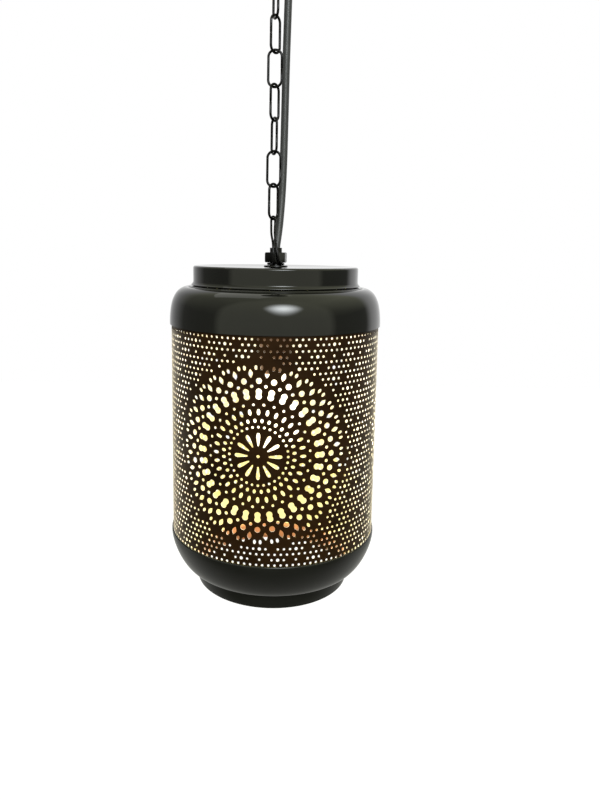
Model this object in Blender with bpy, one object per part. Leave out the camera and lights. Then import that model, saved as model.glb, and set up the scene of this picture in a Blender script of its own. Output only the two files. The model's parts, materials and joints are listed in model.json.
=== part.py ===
"""Hanging metal lantern: ceiling canopy, chain, cord and a perforated drum with its lampholder and bulb.

Metres, +Z up. The origin lies on the bracket's face at the ceiling. The lantern's axis is X = Y = 0,
and the chain hangs beside it at CHAIN_X.
"""

import math

import bmesh
import bpy
from mathutils import Vector
from mathutils.geometry import delaunay_2d_cdt

# General
GAP = 0.0003  # clearance between pieces that touch
SHEET = 0.0008  # spun and rolled sheet
LAP = 0.0013  # clearance of what sits inside the rolled drum
SEG_BIG = 40  # facets round the lantern
SEG_MID = 24
SEG_SMALL = 16

# Lantern shells, heights below the rim
COLLAR_R = 0.0791
COLLAR_FLARE = 0.0018
COLLAR_H = 0.0180
SHOULDER_SEAT = 0.0046  # the shoulder's top reaches in under the collar
LIP_H = 0.0060  # the cap's lip inside the drum
LID_DISH = 0.0015
SHOULDER_TOP = 0.0186
SHOULDER_H = 0.0549
DRUM_R = 0.0998
SHOULDER_CLEAR = 0.0008  # between the drum and the shoulder that slides over it
SHOULDER_R = DRUM_R + SHEET + SHOULDER_CLEAR
SHOULDER_CURVE = (  # share of the way out from the collar, share of the height
    (0.2197, 0.0165),
    (0.3767, 0.0386),
    (0.5247, 0.0799),
    (0.6502, 0.1377),
    (0.7489, 0.2121),
    (0.8386, 0.3140),
    (0.9058, 0.4298),
    (0.9596, 0.5923),
    (0.9910, 0.7713),
    (1.0, 1.0),
)
DRUM_TOP = 0.0440
DRUM_LOW = 0.2575
CAP_STEP = 0.0006  # the cap stands this far out from the drum
CAP_R = DRUM_R + CAP_STEP
CAP_BAND = 0.0030  # upright part of the cap
CAP_LOW = 0.2970
CAP_CURVE = (  # share of the way in to the foot, share of the height
    (0.0341, 0.1846),
    (0.1171, 0.3886),
    (0.2340, 0.5756),
    (0.3843, 0.7424),
    (0.5616, 0.8751),
    (0.7750, 0.9681),
)
FOOT_R = 0.0752
FOOT_LOW = 0.3097
FLANGE = 0.0034  # the foot reaches this far out over the cap's edge

# Drum pattern on the flat sheet
TILES = 3  # round figures, side by side
TILE_YAW = -7.6  # degrees from the front, to the left
TILE_MID = 0.1583  # middle of a figure below the rim
PETALS = 12
SPOKES = 32
PETAL_IN = 0.0090
PETAL_OUT = 0.0205
PETAL_W = 0.0032
LONG_HOLE_R = 0.0542
LONG_HOLE_L = 0.0100
LONG_HOLE_W = 0.0056
ROUND_R = 0.0655  # ring of round holes outside the long ones
ROUND_D = 0.0052
FIELD_COLUMNS = 39  # big dots of the field, between the figures
FIELD_ROW = 0.0099
FIELD_TOP = 0.0953  # highest row above the middle of the figures
FIELD_ROWS = 20
FIELD_D = 0.0034
FIELD_CLEAR = 0.0828  # radius of a figure with its rim
FIELD_SHIFT = 0.0021
SEAM_W = 0.012
SEAM_YAW = 172.4

# Gland on the lid
NIPPLE_R = 0.0060
NIPPLE_BORE = 0.0042
NIPPLE_TOP = 0.0176
NIPPLE_LOW = 0.0460
WASHER_R = 0.0115
WASHER_H = 0.0020
LOOP_WIRE = 0.0022
LOOP_YAW = -50  # the eye of the loop, degrees from the view plane
NUT_AF = 0.0195
NUT_H = 0.0096
INNER_NUT_AF = 0.0170
INNER_NUT_H = 0.0050

# Chain
CHAIN_X = -0.0030
CHAIN_Y = 0.0
CHAIN_LINE = (CHAIN_X, CHAIN_Y)
WIRE = 0.0024
PITCH = 0.0301
LINK_W = 0.0150  # over the wire
CONTACT_0 = 0.0459  # lowest link on the loop, above the rim
LINK_YAWS = (50, 168, 112, 54, 174, 50, 110)  # lowest link first, degrees from the view plane
HOOK_DROP = 0.0584  # where the top link hangs, below the ceiling
RIM_Z = -(HOOK_DROP + len(LINK_YAWS) * PITCH + CONTACT_0)  # top rim of the lantern

# Cord
CORD_D = 0.0073

# Canopy
CANOPY_R = 0.050
CANOPY_H = 0.025
CANOPY_T = 0.0010
BRACKET = (0.078, 0.018, 0.003)
BOSS_R = 0.0065
BOSS_H = 0.008
SHANK_R = 0.0030
EYE_R = 0.0065
EYE_WIRE = 0.0032
BUSH_X = 0.0090
BUSH_Y = 0.0140

# Lampholder and bulb, heights below the rim
HOLDER_R = 0.0190
HOLDER_TOP = 0.0430
HOLDER_MID = 0.0620
HOLDER_LOW = 0.1030
RING_DROP = 0.0200  # clamping ring below the holder's waist
RING_H = 0.0090
THREAD_R = 0.0130
BULB_R = 0.0300
BULB_LOW = 0.1850


def clear_scene():
    for obj in list(bpy.data.objects):
        bpy.data.objects.remove(obj, do_unlink=True)


MATERIALS = {
    "enamel": ((0.012, 0.012, 0.011, 1.0), 0.6, 0.25),
    "drum_metal": ((0.030, 0.022, 0.016, 1.0), 0.7, 0.40),
    "steel": ((0.090, 0.090, 0.092, 1.0), 1.0, 0.35),
    "zinc": ((0.450, 0.450, 0.440, 1.0), 1.0, 0.35),
    "brass": ((0.650, 0.460, 0.180, 1.0), 1.0, 0.30),
    "rubber": ((0.060, 0.062, 0.064, 1.0), 0.0, 0.50),
    "black_plastic": ((0.020, 0.020, 0.020, 1.0), 0.0, 0.45),
    "ceramic": ((0.750, 0.730, 0.680, 1.0), 0.0, 0.30),
    "glass": ((0.950, 0.900, 0.780, 1.0), 0.0, 0.15),
}


def finish(obj, material, smooth=True):
    """Own copy of the named material, and smooth faces where the piece is turned."""
    colour, metallic, rough = MATERIALS[material]
    made = bpy.data.materials.new(obj.name + "_" + material)
    made.use_nodes = True
    shader = made.node_tree.nodes["Principled BSDF"]
    shader.inputs["Base Color"].default_value = colour
    shader.inputs["Metallic"].default_value = metallic
    shader.inputs["Roughness"].default_value = rough
    made.diffuse_color = colour
    obj.data.materials.append(made)
    if smooth and obj.type == "MESH":
        for face in obj.data.polygons:
            face.use_smooth = True
    return obj


def new_object(name, bm, material, origin=(0.0, 0.0, 0.0), smooth=True):
    """An object of this mesh, whose origin is moved to the given point."""
    bmesh.ops.recalc_face_normals(bm, faces=bm.faces)
    mesh = bpy.data.meshes.new(name)
    point = Vector(origin)
    for vert in bm.verts:
        vert.co -= point
    bm.to_mesh(mesh)
    bm.free()
    obj = bpy.data.objects.new(name, mesh)
    obj.location = point
    bpy.context.scene.collection.objects.link(obj)
    return finish(obj, material, smooth)


def lathe_mesh(profile, segments, centre=(0.0, 0.0), bm=None):
    """Turns a closed outline of (radius, z) about the vertical through centre; radius 0 makes a pole."""
    bm = bm or bmesh.new()
    rings = []
    for radius, z in profile:
        if radius < 1e-7:
            rings.append([bm.verts.new((centre[0], centre[1], z))])
            continue
        ring = []
        for step in range(segments):
            angle = 2 * math.pi * step / segments
            ring.append(
                bm.verts.new(
                    (centre[0] + radius * math.sin(angle), centre[1] - radius * math.cos(angle), z)
                )
            )
        rings.append(ring)
    for first, second in zip(rings, rings[1:] + rings[:1]):
        for step in range(segments):
            after = (step + 1) % segments
            if len(first) == 1 and len(second) == 1:
                continue
            if len(first) == 1:
                bm.faces.new((first[0], second[step], second[after]))
            elif len(second) == 1:
                bm.faces.new((first[step], first[after], second[0]))
            else:
                bm.faces.new((first[step], first[after], second[after], second[step]))
    return bm


def lathe(name, profile, segments, material, centre=(0.0, 0.0), below_rim=True, origin=(0.0, 0.0, 0.0)):
    shift = RIM_Z if below_rim else 0.0
    return new_object(
        name, lathe_mesh([(r, z + shift) for r, z in profile], segments, centre), material, origin
    )


def offset_shell(outer, thickness):
    """Closed outline of a sheet whose outer side is this open profile, offset square to it inwards."""
    inner = []
    for index, (r, z) in enumerate(outer):
        before = outer[max(index - 1, 0)]
        after = outer[min(index + 1, len(outer) - 1)]
        dr, dz = after[0] - before[0], after[1] - before[1]
        length = math.hypot(dr, dz)
        inner.append((r + dz / length * thickness, z - dr / length * thickness))
    return list(outer) + inner[::-1]


def tube(name, points, radius, material, cyclic=False, resolution=2, origin=(0.0, 0.0, 0.0)):
    """A round wire along these points, as a mesh with closed ends."""
    data = bpy.data.curves.new(name + "_path", "CURVE")
    data.dimensions = "3D"
    data.bevel_depth = radius
    data.bevel_resolution = resolution
    data.use_fill_caps = not cyclic
    spline = data.splines.new("POLY")
    spline.points.add(len(points) - 1)
    for point, place in zip(spline.points, points):
        point.co = (place[0] - origin[0], place[1] - origin[1], place[2] - origin[2], 1.0)
    spline.use_cyclic_u = cyclic
    obj = bpy.data.objects.new(name, data)
    obj.location = origin
    bpy.context.scene.collection.objects.link(obj)
    return finish(obj, material, False)


def smooth_path(points, steps):
    """Catmull-Rom curve through the points."""
    out = []
    for i in range(len(points) - 1):
        p0 = Vector(points[max(i - 1, 0)])
        p1 = Vector(points[i])
        p2 = Vector(points[i + 1])
        p3 = Vector(points[min(i + 2, len(points) - 1)])
        for k in range(steps):
            t = k / steps
            out.append(
                0.5
                * (
                    2 * p1
                    + (p2 - p0) * t
                    + (2 * p0 - 5 * p1 + 4 * p2 - p3) * t * t
                    + (3 * p1 - p0 - 3 * p2 + p3) * t ** 3
                )
            )
    out.append(Vector(points[-1]))
    return out


def prism(name, outline, low, high, material, hole=0.0, centre=(0.0, 0.0), segments=24):
    """An upright prism of the outline between two heights, with a round hole through its middle."""
    bm = bmesh.new()
    count = len(outline)
    if not hole:
        bottom = [bm.verts.new((centre[0] + x, centre[1] + y, low)) for x, y in outline]
        top = [bm.verts.new((centre[0] + x, centre[1] + y, high)) for x, y in outline]
        bm.faces.new(bottom[::-1])
        bm.faces.new(top)
        for i in range(count):
            j = (i + 1) % count
            bm.faces.new((bottom[i], bottom[j], top[j], top[i]))
        return new_object(name, bm, material, smooth=False)
    rings = []
    for z in (low, high):
        around = []
        inside = []
        for step in range(segments):
            angle = 2 * math.pi * step / segments
            direction = Vector((math.cos(angle), math.sin(angle)))
            reach = min(
                edge_reach(outline[i], outline[(i + 1) % count], direction) for i in range(count)
            )
            place = (centre[0] + direction.x * reach, centre[1] + direction.y * reach, z)
            around.append(bm.verts.new(place))
            inside.append(bm.verts.new((centre[0] + direction.x * hole, centre[1] + direction.y * hole, z)))
        rings.append((around, inside))
    (low_out, low_in), (high_out, high_in) = rings
    for i in range(segments):
        j = (i + 1) % segments
        bm.faces.new((low_out[i], low_out[j], high_out[j], high_out[i]))
        bm.faces.new((low_in[j], low_in[i], high_in[i], high_in[j]))
        bm.faces.new((high_out[i], high_out[j], high_in[j], high_in[i]))
        bm.faces.new((low_out[j], low_out[i], low_in[i], low_in[j]))
    return new_object(name, bm, material, smooth=False)


def edge_reach(a, b, direction):
    """How far along a direction from the middle the line through an edge of a convex outline lies."""
    normal = Vector((b[1] - a[1], a[0] - b[0])).normalized()
    ahead = normal.dot(direction)
    return normal.dot(Vector(a)) / ahead if ahead > 1e-6 else 1e9


def hexagon(across_flats, turn=0.0):
    radius = across_flats / math.sqrt(3)
    return [
        (radius * math.cos(math.radians(60 * k + turn)), radius * math.sin(math.radians(60 * k + turn)))
        for k in range(6)
    ]


def cut(obj, cutter):
    """Takes the cutter out of the object; the cutter stays as a hidden helper."""
    cutter.hide_render = True
    cutter.display_type = "WIRE"
    modifier = obj.modifiers.new("cut_" + cutter.name, "BOOLEAN")
    modifier.operation = "DIFFERENCE"
    modifier.solver = "EXACT"
    modifier.object = cutter


# Lantern shells


def make_collar():
    outer = [
        (NIPPLE_R + GAP, -LID_DISH),
        (0.38 * COLLAR_R, -0.93 * LID_DISH),
        (0.70 * COLLAR_R, -0.55 * LID_DISH),
        (0.89 * COLLAR_R, -0.13 * LID_DISH),
        (0.97 * COLLAR_R, 0.0),
        (COLLAR_R - 0.0006, -0.0004),
        (COLLAR_R, -0.0016),
        (COLLAR_R, -0.0148),
        (COLLAR_R + 0.4 * COLLAR_FLARE, -0.0163),
        (COLLAR_R + COLLAR_FLARE, -0.0176),
        (COLLAR_R + COLLAR_FLARE, -COLLAR_H),
    ]
    inner = [
        (COLLAR_R - SHEET, -COLLAR_H),
        (COLLAR_R - SHEET, -0.0020),
        (0.97 * COLLAR_R, -SHEET),
        (0.89 * COLLAR_R, -0.13 * LID_DISH - SHEET),
        (0.70 * COLLAR_R, -0.55 * LID_DISH - SHEET),
        (0.38 * COLLAR_R, -0.93 * LID_DISH - SHEET),
        (NIPPLE_R + GAP, -LID_DISH - SHEET),
    ]
    lathe("top_collar", outer + inner, SEG_BIG, "enamel")


def make_shoulder():
    top = -SHOULDER_TOP
    tall = SHOULDER_H - SHOULDER_TOP
    outer = [(COLLAR_R - SHOULDER_SEAT, top)]
    for out, down in SHOULDER_CURVE:
        outer.append((COLLAR_R + out * (SHOULDER_R - COLLAR_R), top - down * tall))
    lathe("upper_shoulder", offset_shell(outer, SHEET), SEG_BIG, "enamel")


def cap_sides():
    """Outer and inner side of the cap's sheet from the upright band down to the foot."""
    band = -DRUM_LOW - GAP - CAP_BAND
    end = FOOT_R + GAP
    outer = [(CAP_R, band)]
    for into, down in CAP_CURVE:
        outer.append((CAP_R + into * (FOOT_R - CAP_R), band + down * (-CAP_LOW - band)))
    outer.append((end, -CAP_LOW))
    inner = [(end, -CAP_LOW + 1.3 * SHEET)]
    for i in range(len(outer) - 2, 0, -1):
        along = (Vector(outer[i + 1]) - Vector(outer[i - 1])).normalized()
        inner.append((outer[i][0] + along.y * SHEET, outer[i][1] - along.x * SHEET))
    return outer, inner


def make_lower_cap():
    lip = DRUM_R - SHEET - LAP
    step = -DRUM_LOW - GAP
    outer, inner = cap_sides()
    outer = [(lip, step + LIP_H), (lip, step), (CAP_R, step)] + outer
    inner = inner + [(lip - SHEET, step - 0.9 * CAP_BAND), (lip - SHEET, step + LIP_H)]
    lathe("lower_cap", outer + inner, SEG_BIG, "enamel")


def make_foot():
    """Ring whose flange lies inside the cap on the edge of its mouth."""
    (edge, edge_z), (next_r, next_z) = cap_sides()[1][:2]
    slope = (next_z - edge_z) / (next_r - edge)
    flange = edge_z + GAP + max(0.0006, slope * (FOOT_R + FLANGE - edge))
    profile = [
        (FOOT_R + FLANGE, flange),
        (FOOT_R, flange - 0.0006),
        (FOOT_R, -FOOT_LOW + 0.0006),
        (FOOT_R - 0.0005, -FOOT_LOW),
        (FOOT_R - 0.0013, -FOOT_LOW),
        (FOOT_R - 0.0016, -FOOT_LOW + 0.0006),
        (FOOT_R - 0.0016, flange),
        (FOOT_R - 0.0012, flange + SHEET),
        (FOOT_R + FLANGE, flange + SHEET),
    ]
    lathe("foot_ring", profile, SEG_BIG, "enamel")


# Perforated drum: the sheet is meshed flat, then rolled


def hole_outlines():
    """Holes of the flat sheet as lists of points (along the sheet, up), the middle figure at the front."""
    holes = []
    for tile in range(TILES):
        middle = Vector(((tile - 1) * 2 * math.pi * DRUM_R / TILES, 0.0))
        for k in range(PETALS):
            holes.append(spoke(middle, 360.0 * k / PETALS, lens(PETAL_IN, PETAL_OUT, PETAL_W)))
        for k in range(SPOKES):
            turn = 360.0 * k / SPOKES
            half = LONG_HOLE_L / 2
            side = LONG_HOLE_W / 2
            long_hole = [
                (LONG_HOLE_R - half, 0.0),
                (LONG_HOLE_R - half + 0.0017, side),
                (LONG_HOLE_R + half - 0.0017, side),
                (LONG_HOLE_R + half, 0.0),
                (LONG_HOLE_R + half - 0.0017, -side),
                (LONG_HOLE_R - half + 0.0017, -side),
            ]
            holes.append(spoke(middle, turn, long_hole))
            holes.append(spoke(middle, turn, ngon(ROUND_R, ROUND_D, 6)))
    return holes + field_holes()


def field_holes():
    """Big dots in rows that are staggered in a repeat of three, clear of the figures."""
    length = 2 * math.pi * DRUM_R
    step = length / FIELD_COLUMNS
    holes = []
    for row in range(FIELD_ROWS):
        v = FIELD_TOP - FIELD_ROW * row
        for column in range(-FIELD_COLUMNS, FIELD_COLUMNS):
            if column % 2 != (row % 3 == 1):
                continue
            u = FIELD_SHIFT + step * column
            gaps = [(u - t * length / TILES + length / 2) % length - length / 2 for t in range(TILES)]
            inside = min(math.hypot(gap, v) for gap in gaps) < FIELD_CLEAR
            edge = abs(u) > length / 2 - 2 * FIELD_D
            if not inside and not edge:
                holes.append(spoke(Vector((u, v)), 0.0, ngon(0.0, FIELD_D, 4)))
    return holes


def between_holes():
    """Points of the sheet between its holes, which keep it round when it is rolled."""
    length = 2 * math.pi * DRUM_R
    points = []
    for tile in range(TILES):
        for k in range(20):
            angle = 2 * math.pi * (k + 0.5) / 20
            ring = 0.5 * (PETAL_OUT + LONG_HOLE_R - LONG_HOLE_L / 2)
            points.append(((tile - 1) * length / TILES + ring * math.cos(angle), ring * math.sin(angle)))
    for row in range(2, FIELD_ROWS, 3):
        v = FIELD_TOP - FIELD_ROW * (row + 0.5)
        for column in range(-FIELD_COLUMNS, FIELD_COLUMNS):
            u = FIELD_SHIFT + length / FIELD_COLUMNS * column
            gaps = [(u - t * length / TILES + length / 2) % length - length / 2 for t in range(TILES)]
            inside = min(math.hypot(gap, v) for gap in gaps) < FIELD_CLEAR
            edge = abs(u) > length / 2 - 2 * FIELD_D
            if column % 2 == 1 and not inside and not edge:
                points.append((u, v))
    return points


def ngon(reach, diameter, sides):
    """Corners of a hole with the area of a circle of this diameter."""
    radius = diameter / 2 * math.sqrt(2 * math.pi / (sides * math.sin(2 * math.pi / sides)))
    return [
        (
            reach + radius * math.cos(2 * math.pi * (k + 0.5) / sides),
            radius * math.sin(2 * math.pi * (k + 0.5) / sides),
        )
        for k in range(sides)
    ]


def lens(start, end, width):
    middle = start + 0.6 * (end - start)
    return [(start, 0.0), (middle, width / 2), (end, 0.0), (middle, -width / 2)]


def spoke(middle, degrees, outline):
    c, s = math.cos(math.radians(degrees)), math.sin(math.radians(degrees))
    return [
        (middle.x + c * along - s * across, middle.y + s * along + c * across)
        for along, across in outline
    ]


def make_drum():
    length = 2 * math.pi * DRUM_R
    left = -length / 2
    low = TILE_MID - DRUM_LOW
    high = TILE_MID - DRUM_TOP
    columns = 48
    points = []
    edges = []
    for k in range(columns + 1):
        points.append((left + length * k / columns, low))
    for k in range(columns + 1):
        points.append((left + length * k / columns, high))
    for k in range(columns):
        edges.append((k, k + 1))
        edges.append((columns + 1 + k, columns + 2 + k))
    levels = 5
    side = []
    for end in (0, columns):
        chain = [end]
        for k in range(1, levels):
            points.append((left + length * end / columns, low + (high - low) * k / levels))
            chain.append(len(points) - 1)
        chain.append(columns + 1 + end)
        side.append(chain)
        edges += list(zip(chain, chain[1:]))
    points += between_holes()
    holes = hole_outlines()
    for outline in holes:
        start = len(points)
        points += outline
        count = len(outline)
        edges += [(start + i, start + (i + 1) % count) for i in range(count)]
    flat, _, faces, _, _, _ = delaunay_2d_cdt(
        [Vector(p) for p in points], edges, [], 2, 1e-7
    )
    kept = [face for face in faces if not inside_hole(flat, face, holes, length)]
    bm = bmesh.new()
    outside = []
    inside = []
    for place in flat:
        along = place.x
        if abs(along - (left + length)) < 1e-6:
            along = left
        angle = along / DRUM_R + math.radians(TILE_YAW)
        z = RIM_Z - TILE_MID + place.y
        outside.append((DRUM_R * math.sin(angle), -DRUM_R * math.cos(angle), z))
        shrunk = DRUM_R - SHEET
        inside.append((shrunk * math.sin(angle), -shrunk * math.cos(angle), z))
    seen = {}

    def vert(place):
        key = tuple(round(value, 7) for value in place)
        if key not in seen:
            seen[key] = bm.verts.new(place)
        return seen[key]

    used = {}
    for face in kept:
        ring_out = [vert(outside[i]) for i in face]
        ring_in = [vert(inside[i]) for i in face]
        bm.faces.new(ring_out)
        bm.faces.new(ring_in[::-1])
        for i in range(len(face)):
            a, b = ring_out[i], ring_out[(i + 1) % len(face)]
            if (b, a) in used:
                del used[(b, a)]
            else:
                used[(a, b)] = (ring_in[i], ring_in[(i + 1) % len(face)])
    for (a, b), (c, d) in used.items():
        bm.faces.new((b, a, c, d))
    new_object("perforated_drum", bm, "drum_metal", smooth=False)


def inside_hole(flat, face, holes, length):
    middle = sum((flat[i] for i in face), Vector((0.0, 0.0))) / len(face)
    for outline in holes:
        if abs(outline[0][0] - middle.x) > 0.02 or abs(outline[0][1] - middle.y) > 0.02:
            continue
        if contains(outline, middle):
            return True
    return False


def contains(outline, place):
    found = False
    for (x0, y0), (x1, y1) in zip(outline, outline[1:] + outline[:1]):
        if (y0 > place.y) != (y1 > place.y) and place.x < (x1 - x0) * (place.y - y0) / (y1 - y0) + x0:
            found = not found
    return found


def make_seam():
    """Strip soldered behind the butt of the rolled sheet, at the back."""
    bm = bmesh.new()
    half = SEAM_W / 2 / DRUM_R
    outer = DRUM_R - SHEET - LAP
    steps = 4
    low = RIM_Z - DRUM_LOW + 0.0075
    high = RIM_Z - DRUM_TOP - 0.001
    rows = []
    for k in range(steps + 1):
        angle = math.radians(SEAM_YAW) - half + 2 * half * k / steps
        row = []
        for radius, z in ((outer, low), (outer, high), (outer - SHEET, high), (outer - SHEET, low)):
            row.append(bm.verts.new((radius * math.sin(angle), -radius * math.cos(angle), z)))
        rows.append(row)
    for first, second in zip(rows, rows[1:]):
        for i in range(4):
            j = (i + 1) % 4
            bm.faces.new((first[i], first[j], second[j], second[i]))
    bm.faces.new(rows[0])
    bm.faces.new(rows[-1][::-1])
    new_object("drum_seam_strip", bm, "drum_metal", smooth=False)


# Gland, hanging loop and chain


def make_gland():
    washer_low = -LID_DISH + GAP
    washer_top = washer_low + WASHER_H
    bevel = 0.0006
    hole = NIPPLE_R + GAP
    lathe(
        "gland_washer",
        [
            (hole, washer_low),
            (WASHER_R - bevel, washer_low),
            (WASHER_R, washer_low + bevel),
            (WASHER_R, washer_top - bevel),
            (WASHER_R - bevel, washer_top),
            (hole, washer_top),
        ],
        SEG_MID,
        "steel",
    )
    nut_low = washer_top + 2 * GAP + LOOP_WIRE
    low = RIM_Z + nut_low
    prism("gland_nut", hexagon(NUT_AF, 20), low, low + NUT_H, "steel", hole, segments=36)
    ridge = 0.00025
    profile = [(NIPPLE_BORE, -NIPPLE_LOW), (NIPPLE_R - ridge, -NIPPLE_LOW)]
    top_nut = nut_low + NUT_H
    turns = 4
    for k in range(turns):
        z = top_nut + (NIPPLE_TOP - top_nut) * k / turns
        profile.append((NIPPLE_R - ridge, z + 0.0001))
        profile.append((NIPPLE_R, z + 0.5 * (NIPPLE_TOP - top_nut) / turns))
    profile += [(NIPPLE_R - ridge, NIPPLE_TOP), (NIPPLE_BORE, NIPPLE_TOP)]
    lathe("threaded_nipple", profile, SEG_MID, "zinc")
    under = -LID_DISH - SHEET - GAP
    lathe(
        "inner_washer",
        [(hole, under - 0.0015), (0.0105, under - 0.0015), (0.0105, under), (hole, under)],
        SEG_MID,
        "zinc",
    )
    nut_top = RIM_Z + under - 0.0015 - GAP
    prism("inner_lock_nut", hexagon(INNER_NUT_AF), nut_top - INNER_NUT_H, nut_top, "zinc", hole)
    return washer_top + GAP + LOOP_WIRE / 2


def make_loop(ring_z):
    """Wire clamped round the nipple under the nut; its ends rise before the nut and close in an eye."""
    ring = NIPPLE_R + GAP + LOOP_WIRE / 2
    front = -(NUT_AF / math.sqrt(3) + LOOP_WIRE / 2 + 0.0005)
    top = CONTACT_0 + LOOP_WIRE / 2
    half = 0.0027
    side_x = half * math.cos(math.radians(LOOP_YAW))
    side_y = half * math.sin(math.radians(LOOP_YAW))
    path = [
        (ring * math.sin(math.radians(a)), ring * math.cos(math.radians(a)), ring_z)
        for a in range(8, 141, 22)
    ]
    right = path + [
        (0.0066, front + 0.0042, ring_z),
        (0.0058, front + 0.0008, ring_z + 0.0005),
        (0.0043, front, ring_z + 0.0022),
        (0.0029, front, ring_z + 0.0046),
        (0.0018, front, ring_z + 0.0085),
        (0.0010, front + 0.0010, ring_z + 0.0140),
        (0.0003, front + 0.0036, ring_z + 0.0205),
        (CHAIN_X + side_x + 0.0003, CHAIN_Y - 0.0040 + side_y, ring_z + 0.0285),
        (CHAIN_X + side_x, CHAIN_Y + side_y, top - half - 0.0040),
        (CHAIN_X + side_x, CHAIN_Y + side_y, top - half),
    ]
    bend = [
        (
            CHAIN_X + side_x * math.cos(math.radians(a)),
            CHAIN_Y + side_y * math.cos(math.radians(a)),
            top - half + half * math.sin(math.radians(a)),
        )
        for a in (30, 60, 90, 120, 150)
    ]
    left = [
        (CHAIN_X - side_x, CHAIN_Y - side_y, top - half),
        (CHAIN_X - side_x - 0.0002, CHAIN_Y - side_y, top - half - 0.0040),
        (CHAIN_X - side_x - 0.0003, CHAIN_Y - 0.0050 - side_y, ring_z + 0.0285),
        (-0.0037, front + 0.0036, ring_z + 0.0205),
        (-0.0030, front + 0.0010, ring_z + 0.0140),
        (-0.0023, front, ring_z + 0.0085),
        (-0.0020, front, ring_z + 0.0036),
        (-0.0022, front + 0.0008, ring_z + 0.0006),
        (-0.0036, front + 0.0042, ring_z),
    ] + [(-x, y, z) for x, y, z in path[::-1]]
    whole = [(x, y, z + RIM_Z) for x, y, z in right + bend + left]
    tube("hanging_loop", smooth_path(whole, 1), LOOP_WIRE / 2, "steel")


def link_points(low, high, yaw):
    """Centre line of a closed link between its inner ends at these heights."""
    half_w = (LINK_W - WIRE) / 2
    c, s = math.cos(math.radians(yaw)), math.sin(math.radians(yaw))
    upper = high + WIRE / 2 - half_w
    lower = low - WIRE / 2 + half_w
    points = []
    for middle, start in ((upper, 0), (lower, 180)):
        for k in range(7):
            a = math.radians(start + 30 * k)
            across = half_w * math.cos(a)
            points.append((CHAIN_X + c * across, CHAIN_Y + s * across, middle + half_w * math.sin(a)))
    return points


def make_chain():
    """Seven links; a link's inner ends lie one wire plus the gap beyond its neighbours' inner ends."""
    for index, yaw in enumerate(LINK_YAWS):
        low = RIM_Z + CONTACT_0 + PITCH * index
        high = low + PITCH
        name = "chain_link_%d" % (len(LINK_YAWS) - index)
        inner_low = low - GAP / 2
        inner_high = high + GAP / 2
        origin = (CHAIN_X, CHAIN_Y, high)
        tube(name, link_points(inner_low, inner_high, yaw), WIRE / 2, "steel", cyclic=True, origin=origin)


def cord_path():
    up = RIM_Z
    return smooth_path(
        [
            (0.0, 0.0, up - 0.0385),
            (0.0, 0.0, up - 0.0100),
            (0.0, 0.0, up + 0.0120),
            (0.0006, 0.0010, up + 0.0200),
            (0.0022, 0.0048, up + 0.0320),
            (0.0036, 0.0086, up + 0.0460),
            (0.0052, 0.0118, up * 0.7778),
            (0.0062, 0.0135, up * 0.6825),
            (0.0068, 0.0140, up * 0.5556),
            (0.0074, 0.0140, up * 0.3968),
            (0.0082, 0.0140, up * 0.2698),
            (BUSH_X, BUSH_Y, up * 0.1429),
            (BUSH_X, BUSH_Y, -CANOPY_H - 0.0040),
            (BUSH_X, BUSH_Y, -CANOPY_H + 0.0085),
        ],
        3,
    )


# Ceiling canopy


def make_canopy():
    outer = [
        (SHANK_R + GAP, -CANOPY_H),
        (0.0300, -CANOPY_H),
        (0.0390, -CANOPY_H + 0.0016),
        (0.0450, -CANOPY_H + 0.0060),
        (0.0480, -CANOPY_H + 0.0120),
        (CANOPY_R - 0.0004, -CANOPY_H + 0.0180),
        (CANOPY_R, -GAP),
    ]
    inner = [
        (CANOPY_R - CANOPY_T, -GAP),
        (CANOPY_R - CANOPY_T - 0.0004, -CANOPY_H + 0.0180),
        (0.0470, -CANOPY_H + 0.0124),
        (0.0442, -CANOPY_H + 0.0067),
        (0.0386, -CANOPY_H + 0.0026),
        (0.0298, -CANOPY_H + CANOPY_T),
        (SHANK_R + GAP, -CANOPY_H + CANOPY_T),
    ]
    canopy = lathe("ceiling_canopy", outer + inner, 32, "enamel", CHAIN_LINE, below_rim=False)
    bush_hole = CORD_D / 2 + 0.0022
    cutter = lathe(
        "canopy_cord_hole",
        [(0.0, -0.030), (bush_hole, -0.030), (bush_hole, -0.020), (0.0, -0.020)],
        SEG_SMALL,
        "rubber",
        centre=(BUSH_X, BUSH_Y),
        below_rim=False,
    )
    cut(canopy, cutter)
    bore = CORD_D / 2 + GAP
    neck = bush_hole - GAP
    flange = bush_hole + 0.0012
    low = -CANOPY_H - GAP
    high = -CANOPY_H + CANOPY_T + GAP
    lathe(
        "cord_bushing",
        [
            (bore, low - 0.0022),
            (flange - 0.0006, low - 0.0022),
            (flange, low - 0.0012),
            (flange, low),
            (neck, low),
            (neck, high),
            (neck + 0.0007, high),
            (neck + 0.0004, high + 0.0014),
            (bore, high + 0.0018),
        ],
        SEG_SMALL,
        "black_plastic",
        centre=(BUSH_X, BUSH_Y),
        below_rim=False,
    )


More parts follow.
